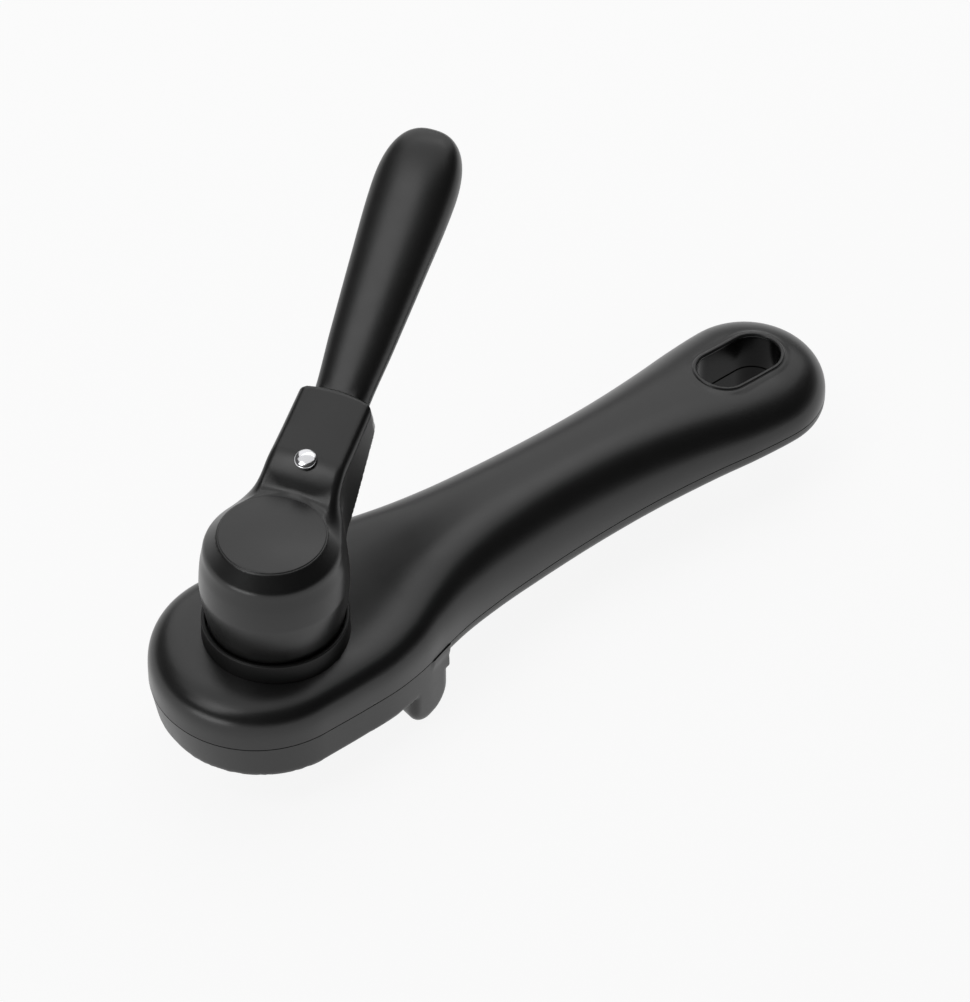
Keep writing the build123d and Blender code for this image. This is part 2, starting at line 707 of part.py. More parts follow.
with BuildPart() as crank_hub:
    with BuildSketch(arm_plane):
        with BuildLine():
            Polyline(*arm_outline, close=True)
        make_face()
    extrude(amount=20, both=True)
    with BuildSketch(arm_top):
        with BuildLine():
            Polyline(
                (0, -arm_root_w / 2),
                (60, -arm_end_w / 2),
                (60, arm_end_w / 2),
                (0, arm_root_w / 2),
                close=True,
            )
        make_face()
    extrude(amount=100, mode=Mode.INTERSECT)
    sides = crank_hub.faces().sort_by(SortBy.AREA)[-2:]
    long_edges = []
    for edge in sides[0].edges() + sides[1].edges():
        c = edge.center()
        d = c.X * crank_dir[0] + c.Y * crank_dir[1]
        if 5 < d < rim_d - 4:
            long_edges.append(edge)
    fillet(long_edges, arm_round)
    with BuildSketch(Plane.XZ):
        with BuildLine():
            Polyline(
                (0, hub_bottom_z),
                (hub_low_r - 0.3, hub_bottom_z),
                (hub_low_r, hub_low_z),
            )
            Spline(
                (hub_low_r, hub_low_z),
                (hub_mid_r, hub_mid_z),
                (hub_top_r, hub_top_z),
                tangents=((0.22, 1), (-0.22, 1)),
            )
            Polyline((hub_top_r, hub_top_z), (cap_seat_r, cap_top_z), (0, cap_top_z), (0, hub_bottom_z))
        make_face()
    revolve(axis=Axis.Z)
    # well for the screw, seat for the cap, square hole for the shaft
    with BuildSketch(Plane.XY.offset(well_z)):
        Circle(well_r)
    extrude(amount=40, mode=Mode.SUBTRACT)
    with BuildSketch(Plane.XY.offset(cap_top_z - cap_t)):
        Circle(cap_seat_r)
    extrude(amount=40, mode=Mode.SUBTRACT)
    with BuildSketch(Plane.XY.offset(hub_bottom_z)):
        Rectangle(drive_sq + 2 * slip_fit, drive_sq + 2 * slip_fit)
    extrude(amount=drive_top_z + 0.6 - hub_bottom_z, mode=Mode.SUBTRACT)
    with BuildSketch(Plane.XY.offset(drive_top_z)):
        Circle(hub_screw_r + 0.2)
    extrude(amount=10, mode=Mode.SUBTRACT)
    # socket for the plug of the grip and the hole for its rivet
    with BuildSketch(tilted(rim_d, rim_z, plug_tilt)):
        RectangleRounded(plug_w + 2 * slip_fit, plug_t + 2 * slip_fit, 2.5)
    extrude(amount=-plug_len - slip_fit, mode=Mode.SUBTRACT)
    with BuildSketch(tilted(*mouth_at, grip_tilt)):
        RectangleRounded(2 * grip_plan[0][1] + 1.0, grip_root_t + 0.9, grip_round + 0.3)
    extrude(amount=16, mode=Mode.SUBTRACT)
    with BuildSketch(rivet_plane):
        Circle(rivet_r + slip_fit)
    extrude(amount=-rivet_len, mode=Mode.SUBTRACT)
crank_hub.part.label = "crank_hub"

with BuildPart() as hub_cap:
    with BuildSketch(Plane.XZ):
        with BuildLine():
            Polyline(
                (0, cap_top_z - cap_t + slip_fit),
                (well_r - 2.0, cap_top_z - cap_t + slip_fit),
                (well_r - 2.0, cap_top_z - cap_t - 4.0),
                (well_r - 0.1, cap_top_z - cap_t - 4.0),
                (well_r - 0.1, cap_top_z - cap_t + slip_fit),
                (cap_r, cap_top_z - cap_t + slip_fit),
                (cap_r, cap_top_z - 0.2),
                (cap_r - 0.2, cap_top_z),
            )
            Spline((cap_r - 0.2, cap_top_z), (0, cap_top_z + 0.6), tangents=((-1, 0.09), (-1, 0)))
            Line((0, cap_top_z + 0.6), (0, cap_top_z - cap_t + slip_fit))
        make_face()
    revolve(axis=Axis.Z)
hub_cap.part.label = "hub_cap"

with BuildPart() as hub_washer:
    with BuildSketch(Plane.XY.offset(well_z)):
        Circle(6.0)
        Circle(hub_screw_r + 0.2, mode=Mode.SUBTRACT)
    extrude(amount=1.0)
hub_washer.part.label = "hub_washer"

with BuildPart() as hub_screw:
    with BuildSketch(Plane.XY.offset(well_z + 1.0)):
        Circle(3.8)
    extrude(amount=2.8)
    fillet(hub_screw.edges().group_by(Axis.Z)[-1], 0.8)
    with BuildSketch(Plane.XY.offset(well_z + 1.0)):
        Circle(hub_screw_r)
    extrude(amount=-18.5)
    with BuildSketch(Plane.XY.offset(well_z + 3.8)):
        Rectangle(4.4, 0.9)
        Rectangle(0.9, 4.4)
    extrude(amount=-1.6, mode=Mode.SUBTRACT)
hub_screw.part.label = "hub_screw"

# Grip: a plug that fills the socket and a widening handle tilted up from the rim
grip_a = radians(grip_tilt)
grip_out = (cos(grip_a) * crank_dir[0], cos(grip_a) * crank_dir[1], sin(grip_a))
grip_up = (-sin(grip_a) * crank_dir[0], -sin(grip_a) * crank_dir[1], cos(grip_a))
grip_at = in_arm(rim_d, rim_z + grip_lift)
plan_left = [(t, w) for t, w in grip_plan]
plan_right = [(t, -w) for t, w in reversed(grip_plan)]
with BuildPart() as crank_grip:
    with BuildSketch(Plane(origin=grip_at, x_dir=grip_out, z_dir=grip_up)):
        with BuildLine():
            Spline(*plan_left, tangents=((1, 0.02), (1, 0)))
            Spline(plan_left[-1], (grip_len, 0), plan_right[0], tangents=((1, 0), (-1, 0)))
            Spline(*plan_right, tangents=((-1, 0), (-1, 0.02)))
            Line(plan_right[-1], plan_left[0])
        make_face()
    extrude(amount=12, both=True)
    with BuildSketch(Plane(origin=grip_at, x_dir=grip_out, z_dir=crank_side)):
        with BuildLine():
            Polyline(
                (-2, -grip_root_t / 2),
                (grip_len + 2, -grip_end_t / 2),
                (grip_len + 2, grip_end_t / 2),
                (-2, grip_root_t / 2),
                close=True,
            )
        make_face()
    extrude(amount=20, both=True, mode=Mode.INTERSECT)
    rims = []
    for face in crank_grip.faces().filter_by(GeomType.PLANE).sort_by(SortBy.AREA)[-2:]:
        for edge in face.edges():
            if edge.geom_type != GeomType.LINE:
                rims.append(edge)
    fillet(rims, grip_round)
    with BuildSketch(tilted(rim_d, rim_z, plug_tilt).offset(-plug_len)):
        RectangleRounded(plug_w, plug_t, 2.5)
    extrude(amount=plug_len + 5.0)
    with BuildSketch(rivet_plane):
        Circle(rivet_r + slip_fit)
    extrude(amount=-rivet_len, mode=Mode.SUBTRACT)
crank_grip.part.label = "crank_grip"

with BuildPart() as grip_rivet:
    with BuildSketch(rivet_plane):
        Circle(rivet_r)
    extrude(amount=-rivet_len)
    with BuildSketch(rivet_plane):
        Circle(rivet_head_r)
    extrude(amount=1.0)
    dome = grip_rivet.faces().sort_by(Axis.Z)[-1]
    fillet(dome.edges(), 0.85)
grip_rivet.part.label = "grip_rivet"

pieces = (
    upper_housing,
    lower_housing,
    housing_screws,
    bearing_plate,
    shaft_bush,
    slide_rails,
    cutter_slide,
    follower_pin,
    cutter_axle,
    cutter_sleeve,
    axle_clip,
    cutting_wheel,
    drive_shaft,
    feed_wheel,
    feed_screw,
    cam_clip,
    cam_disc,
    friction_washer,
    shaft_collar,
    crank_hub,
    hub_cap,
    hub_washer,
    hub_screw,
    crank_grip,
    grip_rivet,
)
for piece in pieces:
    export_step(piece.part, f"parts/{piece.part.label}.step")
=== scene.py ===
from math import cos, pi, radians, sin

import bmesh
import bpy
import numpy as np
from mathutils import Matrix


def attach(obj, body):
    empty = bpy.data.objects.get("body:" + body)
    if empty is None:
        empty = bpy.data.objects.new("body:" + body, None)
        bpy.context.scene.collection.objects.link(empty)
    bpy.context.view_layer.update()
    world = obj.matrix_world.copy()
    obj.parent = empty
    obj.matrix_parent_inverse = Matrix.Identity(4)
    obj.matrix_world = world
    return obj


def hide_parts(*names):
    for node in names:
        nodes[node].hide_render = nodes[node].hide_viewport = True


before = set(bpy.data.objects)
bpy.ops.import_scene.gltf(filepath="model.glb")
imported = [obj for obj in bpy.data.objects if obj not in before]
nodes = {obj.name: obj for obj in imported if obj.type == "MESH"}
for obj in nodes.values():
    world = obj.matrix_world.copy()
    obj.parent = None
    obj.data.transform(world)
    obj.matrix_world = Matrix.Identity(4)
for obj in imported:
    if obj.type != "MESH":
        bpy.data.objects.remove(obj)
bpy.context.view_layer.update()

mm = 0.001
print("stage: frame loaded,", len(nodes), "nodes")


# shape tools: a piece is given as a field that is negative inside, in millimetres
def softMin(a, b, k):
    h = np.maximum(k - np.abs(a - b), 0) / k
    return np.minimum(a, b) - h * h * k / 4


def softMax(a, b, k):
    return -softMin(-a, -b, k)


def roundMax(a, b, r):
    # outer corner of two faces, rounded to a true radius
    p, q = a + r, b + r
    return np.hypot(np.maximum(p, 0), np.maximum(q, 0)) + np.minimum(np.maximum(p, q), 0) - r


def smoothLine(knots):
    xs = np.array([k[0] for k in knots], float)
    ys = np.array([k[1] for k in knots], float)
    slope = np.diff(ys) / np.diff(xs)
    tang = np.zeros(len(xs))
    span = np.diff(xs)
    tang[1:-1] = (slope[:-1] * span[1:] + slope[1:] * span[:-1]) / (span[:-1] + span[1:])

    def line(x):
        x = np.clip(x, xs[0], xs[-1])
        i = np.clip(np.searchsorted(xs, x, side="right") - 1, 0, len(xs) - 2)
        h = span[i]
        t = (x - xs[i]) / h
        a = (1 + 2 * t) * (1 - t) ** 2 * ys[i] + t * (1 - t) ** 2 * h * tang[i]
        return a + t * t * (3 - 2 * t) * ys[i + 1] + t * t * (t - 1) * h * tang[i + 1]
    return line


def polygonField(px, pz, points):
    # signed distance to a closed outline in a plane
    best = np.full(px.shape, 1e9)
    sign = np.ones(px.shape)
    n = len(points)
    for i in range(n):
        ax, az = points[i]
        bx, bz = points[i - 1]
        ex, ez = bx - ax, bz - az
        wx, wz = px - ax, pz - az
        t = np.clip((wx * ex + wz * ez) / (ex * ex + ez * ez), 0, 1)
        best = np.minimum(best, (wx - ex * t) ** 2 + (wz - ez * t) ** 2)
        c1, c2, c3 = pz >= az, pz < bz, ex * wz > ez * wx
        flip = (c1 & c2 & c3) | (~c1 & ~c2 & ~c3)
        sign = np.where(flip, -sign, sign)
    return sign * np.sqrt(best)


def fieldSlope(field, p, step=0.012):
    g = np.empty_like(p)
    for k in range(3):
        d = np.zeros(3)
        d[k] = step
        a, b = p + d, p - d
        g[:, k] = (field(*a.T) - field(*b.T)) / (2 * step)
    return g


def skinFromField(field, low, high, cell, rounds=4):
    # one point per grid cell on the surface, set on creases where faces meet, evened out elsewhere
    low = np.array(low, float)
    size = np.ceil((np.array(high, float) - low) / cell).astype(int) + 1
    axes = [low[k] + cell * np.arange(size[k]) for k in range(3)]
    v = field(*np.meshgrid(*axes, indexing="ij"))
    inside = v < 0
    cells = tuple(size - 1)
    count = np.zeros(cells, int)
    for c in np.ndindex(2, 2, 2):
        count += inside[tuple(slice(c[k], c[k] + cells[k]) for k in range(3))]
    active = (count > 0) & (count < 8)
    total = int(active.sum())
    number = np.full(cells, -1)
    number[active] = np.arange(total)
    hits, place = np.zeros(total), np.zeros((total, 3))
    spread, pull = np.zeros((total, 3, 3)), np.zeros((total, 3))
    quads = []
    for k in range(3):
        first, last = [slice(None)] * 3, [slice(None)] * 3
        first[k], last[k] = slice(0, -1), slice(1, None)
        va, vb = v[tuple(first)], v[tuple(last)]
        cross = (va < 0) != (vb < 0)
        at = np.argwhere(cross)
        ta, tb = np.zeros(len(at)), np.ones(len(at))
        fa, fb = va[cross], vb[cross]
        start = low + cell * at
        for _ in range(6):
            t = ta + (tb - ta) * fa / (fa - fb)
            p = start.copy()
            p[:, k] += cell * t
            f = field(*p.T)
            near = (f < 0) == (fa < 0)
            ta, fa = np.where(near, t, ta), np.where(near, f, fa)
            tb, fb = np.where(near, tb, t), np.where(near, fb, f)
        n = fieldSlope(field, p)
        n /= np.maximum(np.linalg.norm(n, axis=1), 1e-6)[:, None]
        reach = (n * p).sum(1)
        i, j = (k + 1) % 3, (k + 2) % 3
        ring = []
        for di, dj in ((0, 0), (1, 0), (1, 1), (0, 1)):
            c = at.copy()
            c[:, i] -= di
            c[:, j] -= dj
            ok = ((c >= 0) & (c < np.array(cells))).all(1)
            m = np.where(ok, number[tuple(np.clip(c, 0, np.array(cells) - 1).T)], -1)
            ring.append(m)
            m, pn, nn, rn = m[ok], p[ok], n[ok], reach[ok]
            hits += np.bincount(m, minlength=total)
            for a in range(3):
                place[:, a] += np.bincount(m, pn[:, a], total)
                pull[:, a] += np.bincount(m, nn[:, a] * rn, total)
                for b in range(3):
                    spread[:, a, b] += np.bincount(m, nn[:, a] * nn[:, b], total)
        ring = np.stack(ring, 1)
        whole = (ring >= 0).all(1)
        out = va[cross] < 0
        quads += [ring[whole & out], ring[whole & ~out][:, ::-1]]
    quads = np.concatenate(quads)
    mean = place / hits[:, None]
    weight, turn = np.linalg.eigh(spread)
    rest = pull - np.einsum("nab,nb->na", spread, mean)
    share = np.where(weight > 0.12 * weight[:, 2:], 1 / np.maximum(weight, 1e-9), 0)
    shift = np.einsum("nab,nb->na", turn, share * np.einsum("nba,nb->na", turn, rest))
    corner = low + cell * np.argwhere(active)
    points = np.clip(mean + shift, corner - 0.1 * cell, corner + 1.1 * cell)
    free = weight[:, 1] < 0.12 * weight[:, 2]
    edges = np.unique(np.sort(np.concatenate([quads[:, [m, (m + 1) % 4]] for m in range(4)]), 1), axis=0)
    links = np.maximum(np.bincount(edges.ravel(), minlength=total), 1)
    for r in range(rounds):
        if r:
            mid = np.zeros_like(points)
            for a in range(3):
                for m in (0, 1):
                    mid[:, a] += np.bincount(edges[:, m], points[edges[:, 1 - m], a], total)
            points[free] = 0.45 * points[free] + 0.55 * (mid / links[:, None])[free]
        for _ in range(3):
            p = points[free]
            f = field(*p.T)
            g = fieldSlope(field, p)
            step = f[:, None] * g / np.maximum((g * g).sum(1), 0.05)[:, None]
            far = np.maximum(np.linalg.norm(step, axis=1) / (0.6 * cell), 1)
            points[free] = p - step / far[:, None]
    return points, quads


def latheSkin(profile, turns=96, centre=(0, 0)):
    # a closed profile of radius and height turned about a vertical axis
    p = np.array(profile, float)
    a = np.arange(turns) * 2 * pi / turns
    pts = np.stack([np.outer(np.cos(a), p[:, 0]) + centre[0], np.outer(np.sin(a), p[:, 0]) + centre[1],
                    np.tile(p[:, 1], (turns, 1))], -1)
    n = len(p)
    faces = []
    for i in range(turns):
        for j in range(n - 1):
            k = (i + 1) % turns
            faces.append((i * n + j, k * n + j, k * n + j + 1, i * n + j + 1))
    return pts.reshape(-1, 3), faces


def roundedProfile(points, steps=5):
    # corners given as radius, height, rounding
    out = []
    n = len(points)
    for i, (r, z, c) in enumerate(points):
        here = np.array((r, z), float)
        if c == 0 or i in (0, n - 1):
            out.append(here)
            continue
        a = np.array(points[i - 1][:2], float) - here
        b = np.array(points[i + 1][:2], float) - here
        la, lb = np.linalg.norm(a), np.linalg.norm(b)
        p, q = here + a / la * min(c, la * 0.49), here + b / lb * min(c, lb * 0.49)
        for s in range(steps + 1):
            t = s / steps
            out.append((1 - t) ** 2 * p + 2 * t * (1 - t) * here + t * t * q)
    return out


def makePiece(name, points, faces, material, sharp=50):
    mesh = bpy.data.meshes.new(name)
    mesh.from_pydata((np.asarray(points) * mm).tolist(), [], [tuple(int(i) for i in f) for f in faces])
    mesh.validate()
    return finishPiece(name, mesh, material, sharp)


def finishPiece(name, mesh, material, sharp=50):
    bm = bmesh.new()
    bm.from_mesh(mesh)
    bmesh.ops.remove_doubles(bm, verts=bm.verts, dist=1e-6)
    bmesh.ops.recalc_face_normals(bm, faces=bm.faces)
    bm.to_mesh(mesh)
    bm.free()
    mesh.materials.clear()
    mesh.materials.append(material)
    mesh.shade_smooth()
    mesh.set_sharp_from_angle(angle=radians(sharp))
    obj = bpy.data.objects.new(name, mesh)
    bpy.context.scene.collection.objects.link(obj)
    print("stage:", name, len(mesh.vertices), "points")
    return obj


def place(obj, body, slotName, *nodeNames):
    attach(obj, body)
    if nodeNames:
        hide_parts(*nodeNames)


# materials
def hexColour(text, alpha=1.0):
    rgb = [int(text[i:i + 2], 16) / 255 for i in (1, 3, 5)]
    return [c / 12.92 if c <= 0.04045 else ((c + 0.055) / 1.055) ** 2.4 for c in rgb] + [alpha]


def addNode(tree, kind, links=None, **settings):
    node = tree.nodes.new(kind)
    for key, value in settings.items():
        if key.startswith("in_"):
            name = key[3:].replace("_", " ")
            name = int(name) if name.isdigit() else name
            node.inputs[name].default_value = value
        else:
            setattr(node, key, value)
    for name, source in (links or {}).items():
        tree.links.new(source, node.inputs[name])
    return node


def newMaterial(name):
    mat = bpy.data.materials.new(name)
    mat.use_nodes = True
    mat.node_tree.nodes.clear()
    return mat, mat.node_tree


def colourMix(tree, factor, dark, light):
    mix = addNode(tree, "ShaderNodeMix", data_type="RGBA")
    mix.inputs[6].default_value = hexColour(dark)
    mix.inputs[7].default_value = hexColour(light)
    tree.links.new(factor, mix.inputs[0])
    return mix.outputs[2]


def mapped(tree, source, low, high):
    node = addNode(tree, "ShaderNodeMapRange", {0: source})
    node.inputs[3].default_value = low
    node.inputs[4].default_value = high
    return node.outputs[0]


def perMetre(sizeMm):
    return 1 / (sizeMm * mm)


cloudMm, scuffMm, stainMm = 24, 5, 6  # widths of the slow patterns in the finishes
plasticIor = 1.53


def mouldedPlastic(name, dark, light, rough, grainMm=0.55, grainDepth=0.012, roughSpread=0.05, sheen=0.5):
    # moulded plastic with a fine spark-eroded grain: soft sheen, faint clouds, slightly duller handled areas
    # the real grain is about 0.1 mm, drawn coarser so that it shows
    mat, tree = newMaterial(name)
    where = addNode(tree, "ShaderNodeTexCoord").outputs["Object"]
    cloud = addNode(tree, "ShaderNodeTexNoise", {"Vector": where}, in_Scale=perMetre(cloudMm), in_Detail=3.0)
    grain = addNode(tree, "ShaderNodeTexNoise", {"Vector": where}, in_Scale=perMetre(grainMm), in_Detail=2.0)
    scuff = addNode(tree, "ShaderNodeTexNoise", {"Vector": where},
                    in_Scale=perMetre(scuffMm), in_Detail=6.0, in_Roughness=0.7)
    bump = addNode(tree, "ShaderNodeBump", {"Height": grain.outputs[0]},
                   in_Strength=0.35, in_Distance=grainDepth * mm)
    shader = addNode(tree, "ShaderNodeBsdfPrincipled", {
        "Base Color": colourMix(tree, mapped(tree, cloud.outputs[0], 0.1, 0.9), dark, light),
        "Roughness": mapped(tree, scuff.outputs[0], rough - roughSpread, rough + roughSpread),
        "Normal": bump.outputs[0]}, in_IOR=plasticIor, in_Specular_IOR_Level=sheen)
    addNode(tree, "ShaderNodeOutputMaterial", {"Surface": shader.outputs[0]})
    return mat


def workedMetal(name, dark, light, rough, lineMm=2.0, stretch=(1, 1, 14), depth=0.004):
    # worked metal: tool lines around or along the piece, small stains in the colour
    # real tool lines are finer, drawn coarser so that they show
    mat, tree = newMaterial(name)
    where = addNode(tree, "ShaderNodeTexCoord").outputs["Object"]
    turned = addNode(tree, "ShaderNodeMapping", {"Vector": where})
    turned.inputs["Scale"].default_value = stretch
    lines = addNode(tree, "ShaderNodeTexNoise", {"Vector": turned.outputs[0]},
                    in_Scale=perMetre(lineMm), in_Detail=4.0)
    stain = addNode(tree, "ShaderNodeTexNoise", {"Vector": where}, in_Scale=perMetre(stainMm), in_Detail=3.0)
    bump = addNode(tree, "ShaderNodeBump", {"Height": lines.outputs[0]},
                   in_Strength=0.3, in_Distance=depth * mm)
    shader = addNode(tree, "ShaderNodeBsdfPrincipled", {
        "Base Color": colourMix(tree, mapped(tree, stain.outputs[0], 0.0, 1.0), dark, light),
        "Roughness": mapped(tree, lines.outputs[0], rough - 0.06, rough + 0.08),
        "Normal": bump.outputs[0]}, in_Metallic=1.0)
    addNode(tree, "ShaderNodeOutputMaterial", {"Surface": shader.outputs[0]})
    return mat


# satin black with long soft highlights; the lower shell a little duller, the slot's wall ungrained as from a
# polished core and darker as painted shade in the deep slot
shellPlastic = mouldedPlastic("black_abs_satin_moulded", "#121212", "#191919", 0.30)
lowerPlastic = mouldedPlastic("black_abs_satin_lower_shell", "#151515", "#1c1c1c", 0.36)
# the slot wall's darker colour is painted shade of the deep slot
slotShadePlastic = mouldedPlastic("black_abs_polished_slot_wall", "#060606", "#0a0a0a", 0.24,
                             grainDepth=0.002, sheen=0.1)
# dull dark collar, waxy grip with a coarser grain, milky cam, matt rubber
collarPlastic = mouldedPlastic("black_acetal_collar", "#080808", "#0d0d0d", 0.42, sheen=0.25)
gripPlastic = mouldedPlastic("black_polypropylene_grip", "#121212", "#191919", 0.34, grainMm=0.7)
capPlastic = mouldedPlastic("black_abs_hub_cap", "#141414", "#1b1b1b", 0.32, grainMm=0.5)
camPlastic = mouldedPlastic("natural_acetal_cam", "#b9b7ae", "#c9c7bf", 0.5)
washerRubber = mouldedPlastic("black_nitrile_washer", "#121212", "#1a1a1a", 0.75)
# near-mirror rivet, bright ground edge, grainy grey wheel, pale zinc, rolled grey plate, warm brass
rivetSteel = workedMetal("polished_steel_rivet", "#cfcfd2", "#e6e6e8", 0.12, depth=0.001)
bladeSteel = workedMetal("ground_hardened_steel_wheel", "#b4b4b8", "#cccccf", 0.24)
wheelSteel = workedMetal("sintered_steel_feed_wheel", "#8f8f92", "#a8a8aa", 0.38)
screwSteel = workedMetal("zinc_plated_screw_steel", "#a2a29c", "#bdbdb8", 0.30)
plateSteel = workedMetal("cold_rolled_plate_steel", "#98989b", "#adadaf", 0.34, stretch=(1, 10, 10))
bushBrass = workedMetal("turned_brass_bush", "#a98643", "#c29f56", 0.32)
print("stage: materials made")


# node tools: a pattern at points, a ring of teeth, a bead along a path
def nodeTool(name, *inputs):
    tree = bpy.data.node_groups.new(name, "GeometryNodeTree")
    for label, kind in (("Geometry", "Geometry"), *inputs, ("Finish", "Material")):
        tree.interface.new_socket(label, in_out="INPUT", socket_type="NodeSocket" + kind)
    tree.interface.new_socket("Geometry", in_out="OUTPUT", socket_type="NodeSocketGeometry")
    return tree, addNode(tree, "NodeGroupInput").outputs


def finishTool(tree, source, given):
    # sets the material and ends the group
    paint = addNode(tree, "GeometryNodeSetMaterial", {"Geometry": source, "Material": given["Finish"]})
    addNode(tree, "NodeGroupOutput", {"Geometry": paint.outputs[0]})
    return tree


def repeatTool():
    tree, given = nodeTool("repeatAtPoints", ("Pattern", "Object"), ("Seed", "Int"))
    pattern = addNode(tree, "GeometryNodeObjectInfo", {"Object": given["Pattern"]})
    spin = addNode(tree, "FunctionNodeRandomValue", {"Seed": given["Seed"]}, data_type="FLOAT")
    spin.inputs[3].default_value = 2 * pi
    turn = addNode(tree, "ShaderNodeCombineXYZ", {"Z": spin.outputs[1]})
    put = addNode(tree, "GeometryNodeInstanceOnPoints", {
        "Points": given["Geometry"], "Instance": pattern.outputs["Geometry"], "Rotation": turn.outputs[0]})
    real = addNode(tree, "GeometryNodeRealizeInstances", {"Geometry": put.outputs[0]})
    return finishTool(tree, real.outputs[0], given)


def toothTool():
    tree, given = nodeTool("ringOfTeeth", ("Tooth", "Object"), ("Teeth", "Int"), ("Root Radius", "Float"))
    ring = addNode(tree, "GeometryNodeMeshCircle", {
        "Vertices": given["Teeth"], "Radius": given["Root Radius"]})
    tooth = addNode(tree, "GeometryNodeObjectInfo", {"Object": given["Tooth"]})
    index = addNode(tree, "GeometryNodeInputIndex")
    part = addNode(tree, "ShaderNodeMath", {1: given["Teeth"]}, operation="DIVIDE", in_0=2 * pi)
    angle = addNode(tree, "ShaderNodeMath", {0: index.outputs[0], 1: part.outputs[0]}, operation="MULTIPLY")
    turn = addNode(tree, "ShaderNodeCombineXYZ", {"Z": angle.outputs[0]})
    put = addNode(tree, "GeometryNodeInstanceOnPoints", {
        "Points": ring.outputs[0], "Instance": tooth.outputs["Geometry"], "Rotation": turn.outputs[0]})
    real = addNode(tree, "GeometryNodeRealizeInstances", {"Geometry": put.outputs[0]})
    both = addNode(tree, "GeometryNodeJoinGeometry", {"Geometry": real.outputs[0]})
    tree.links.new(given["Geometry"], both.inputs["Geometry"])
    return finishTool(tree, both.outputs[0], given)


def beadTool():
    tree, given = nodeTool("beadAlongPath", ("Bead Radius", "Float"), ("Sides", "Int"))
    path = addNode(tree, "GeometryNodeMeshToCurve", {"Mesh": given["Geometry"]})
    ring = addNode(tree, "GeometryNodeCurvePrimitiveCircle", {
        "Resolution": given["Sides"], "Radius": given["Bead Radius"]})
    bead = addNode(tree, "GeometryNodeCurveToMesh", {
        "Curve": path.outputs[0], "Profile Curve": ring.outputs[0]})
    real = addNode(tree, "GeometryNodeRealizeInstances", {"Geometry": bead.outputs[0]})
    return finishTool(tree, real.outputs[0], given)


def plainObject(name, points, faces, edges=()):
    mesh = bpy.data.meshes.new(name)
    mesh.from_pydata((np.asarray(points, float) * mm).tolist(), list(edges),
                     [tuple(int(i) for i in f) for f in faces])
    obj = bpy.data.objects.new(name, mesh)
    bpy.context.scene.collection.objects.link(obj)
    return obj


def grown(base, tree, **values):
    # runs the node group on an object and returns the finished mesh
    modifier = base.modifiers.new("grow", "NODES")
    modifier.node_group = tree
    for item in tree.interface.items_tree:
        key = item.name.replace(" ", "_")
        if item.in_out == "INPUT" and key in values:
            modifier[item.identifier] = values[key]
    bpy.context.view_layer.update()
    graph = bpy.context.evaluated_depsgraph_get()
    mesh = bpy.data.meshes.new_from_object(base.evaluated_get(graph))
    base.modifiers.remove(modifier)
    bpy.data.objects.remove(base)
    return mesh


# housing
shell = dict(
    midY=1.3, frontX=-5.0, endX=161.6, upperZ=9.7, partingZ=9.4, wall=2.2, rearX=39.8, floorZ=2.2, draft=0.16,
    cell=0.8, seamEdge=0.0, trayEdge=1.2, troughX=33.0, trayBlend=1.2, wellBlend=0.5, floorTop=3,
    upperRoom=((-35, -29, 7.5), (185.5, 32, 30)), lowerRoom=((-35, -29, -12.6), (185.5, 32, 11.5)),
    sides=((-5, 28.8), (8, 28.8), (20, 28.2), (30, 26.2), (39, 23.3), (48, 20.9), (60, 18.9), (76, 17.5),
           (96, 16.8), (116, 17.3), (136, 19.2), (150, 21.1), (161.6, 21.87)),
    tops=((-5, 23.3), (8, 23.3), (20, 23.4), (30, 24.2), (39, 25.5), (48, 26.7), (60, 27.4), (76, 27.6),
          (96, 27.1), (116, 26.1), (136, 24.6), (150, 23.3), (161.6, 22.8)),
    powers=((-5, 4.5), (8, 4.5), (20, 4.3), (30, 3.9), (39, 3.4), (48, 3.0), (60, 2.7), (76, 2.5), (96, 2.4),
            (161.6, 2.4)),
    depths=((30, 6.0), (48, 6.0), (60, 6.2), (76, 6.6), (96, 6.8), (116, 6.9), (136, 6.8), (150, 6.5),
            (161.6, 6.2)),
    trough=3.4,
    seam=((-34, 0.8), (0, 0.7), (14, 0.4), (40, -0.7), (60, -1.2), (78, -1.1), (100, -0.6), (120, 0.0),
          (140, 0.6), (161.6, 0.9)),
)
slot = dict(
    x=158.5, length=26.0, width=14.6, wall=1.8, fillet=0.8, lowFillet=0.6, rim=0.5, tubeDeep=4.6, ledge=0.25,
    lipR=0.7, lipOut=0.5, lipRise=0.0, lipSteps=160, lipSides=12, lipBetween=(14.0, 30.0), deep=0.2, steep=0.6,
)
leg = dict(x0=24.6, x1=39.8, depth=11.75, innerY=-19.4, innerEdge=0.6, round=6.6, edge=2.6, below=1)
boss = dict(r=4.4, rise=1.0, boreR=3.0, boreDeep=2.8)  # round the two screws under the handle
sink = dict(r=2.75, deep=1.4)  # for the four flat screws of the head
collarHole = 19.35
bushHole, sleeveHole = 6.05, dict(x0=-19.4, x1=-15.2, r=4.8)
headScrews = ((-17.5, 16.5), (-17.5, -13.9), (19.0, 21.5), (19.0, -18.9))
handleScrews = (92.0, 134.0)
halfWidth = smoothLine(shell["sides"])
topHeight = smoothLine(shell["tops"])
squareness = smoothLine(shell["powers"])
troughDepth = smoothLine(shell["depths"])
seamRise = smoothLine(shell["seam"])


def underside(x):
    return float(shell["partingZ"] + seamRise(x) - troughDepth(x))


def spineDistance(x, y):
    xc = np.clip(x, shell["frontX"], shell["endX"])
    return xc, np.hypot(x - xc, y - shell["midY"])


def archField(r, z, w, h, n):
    a = (r / w) ** (n - 1)
    b = (np.maximum(z, 0) / h) ** (n - 1)
    q = np.maximum(a * r / w + b * np.maximum(z, 0) / h, 1e-9) ** (1 / n)
    slope = np.hypot(a / w, b / h) * np.maximum(q, 0.3) ** (1 - n)
    return (q - 1) / np.maximum(slope, 0.02)


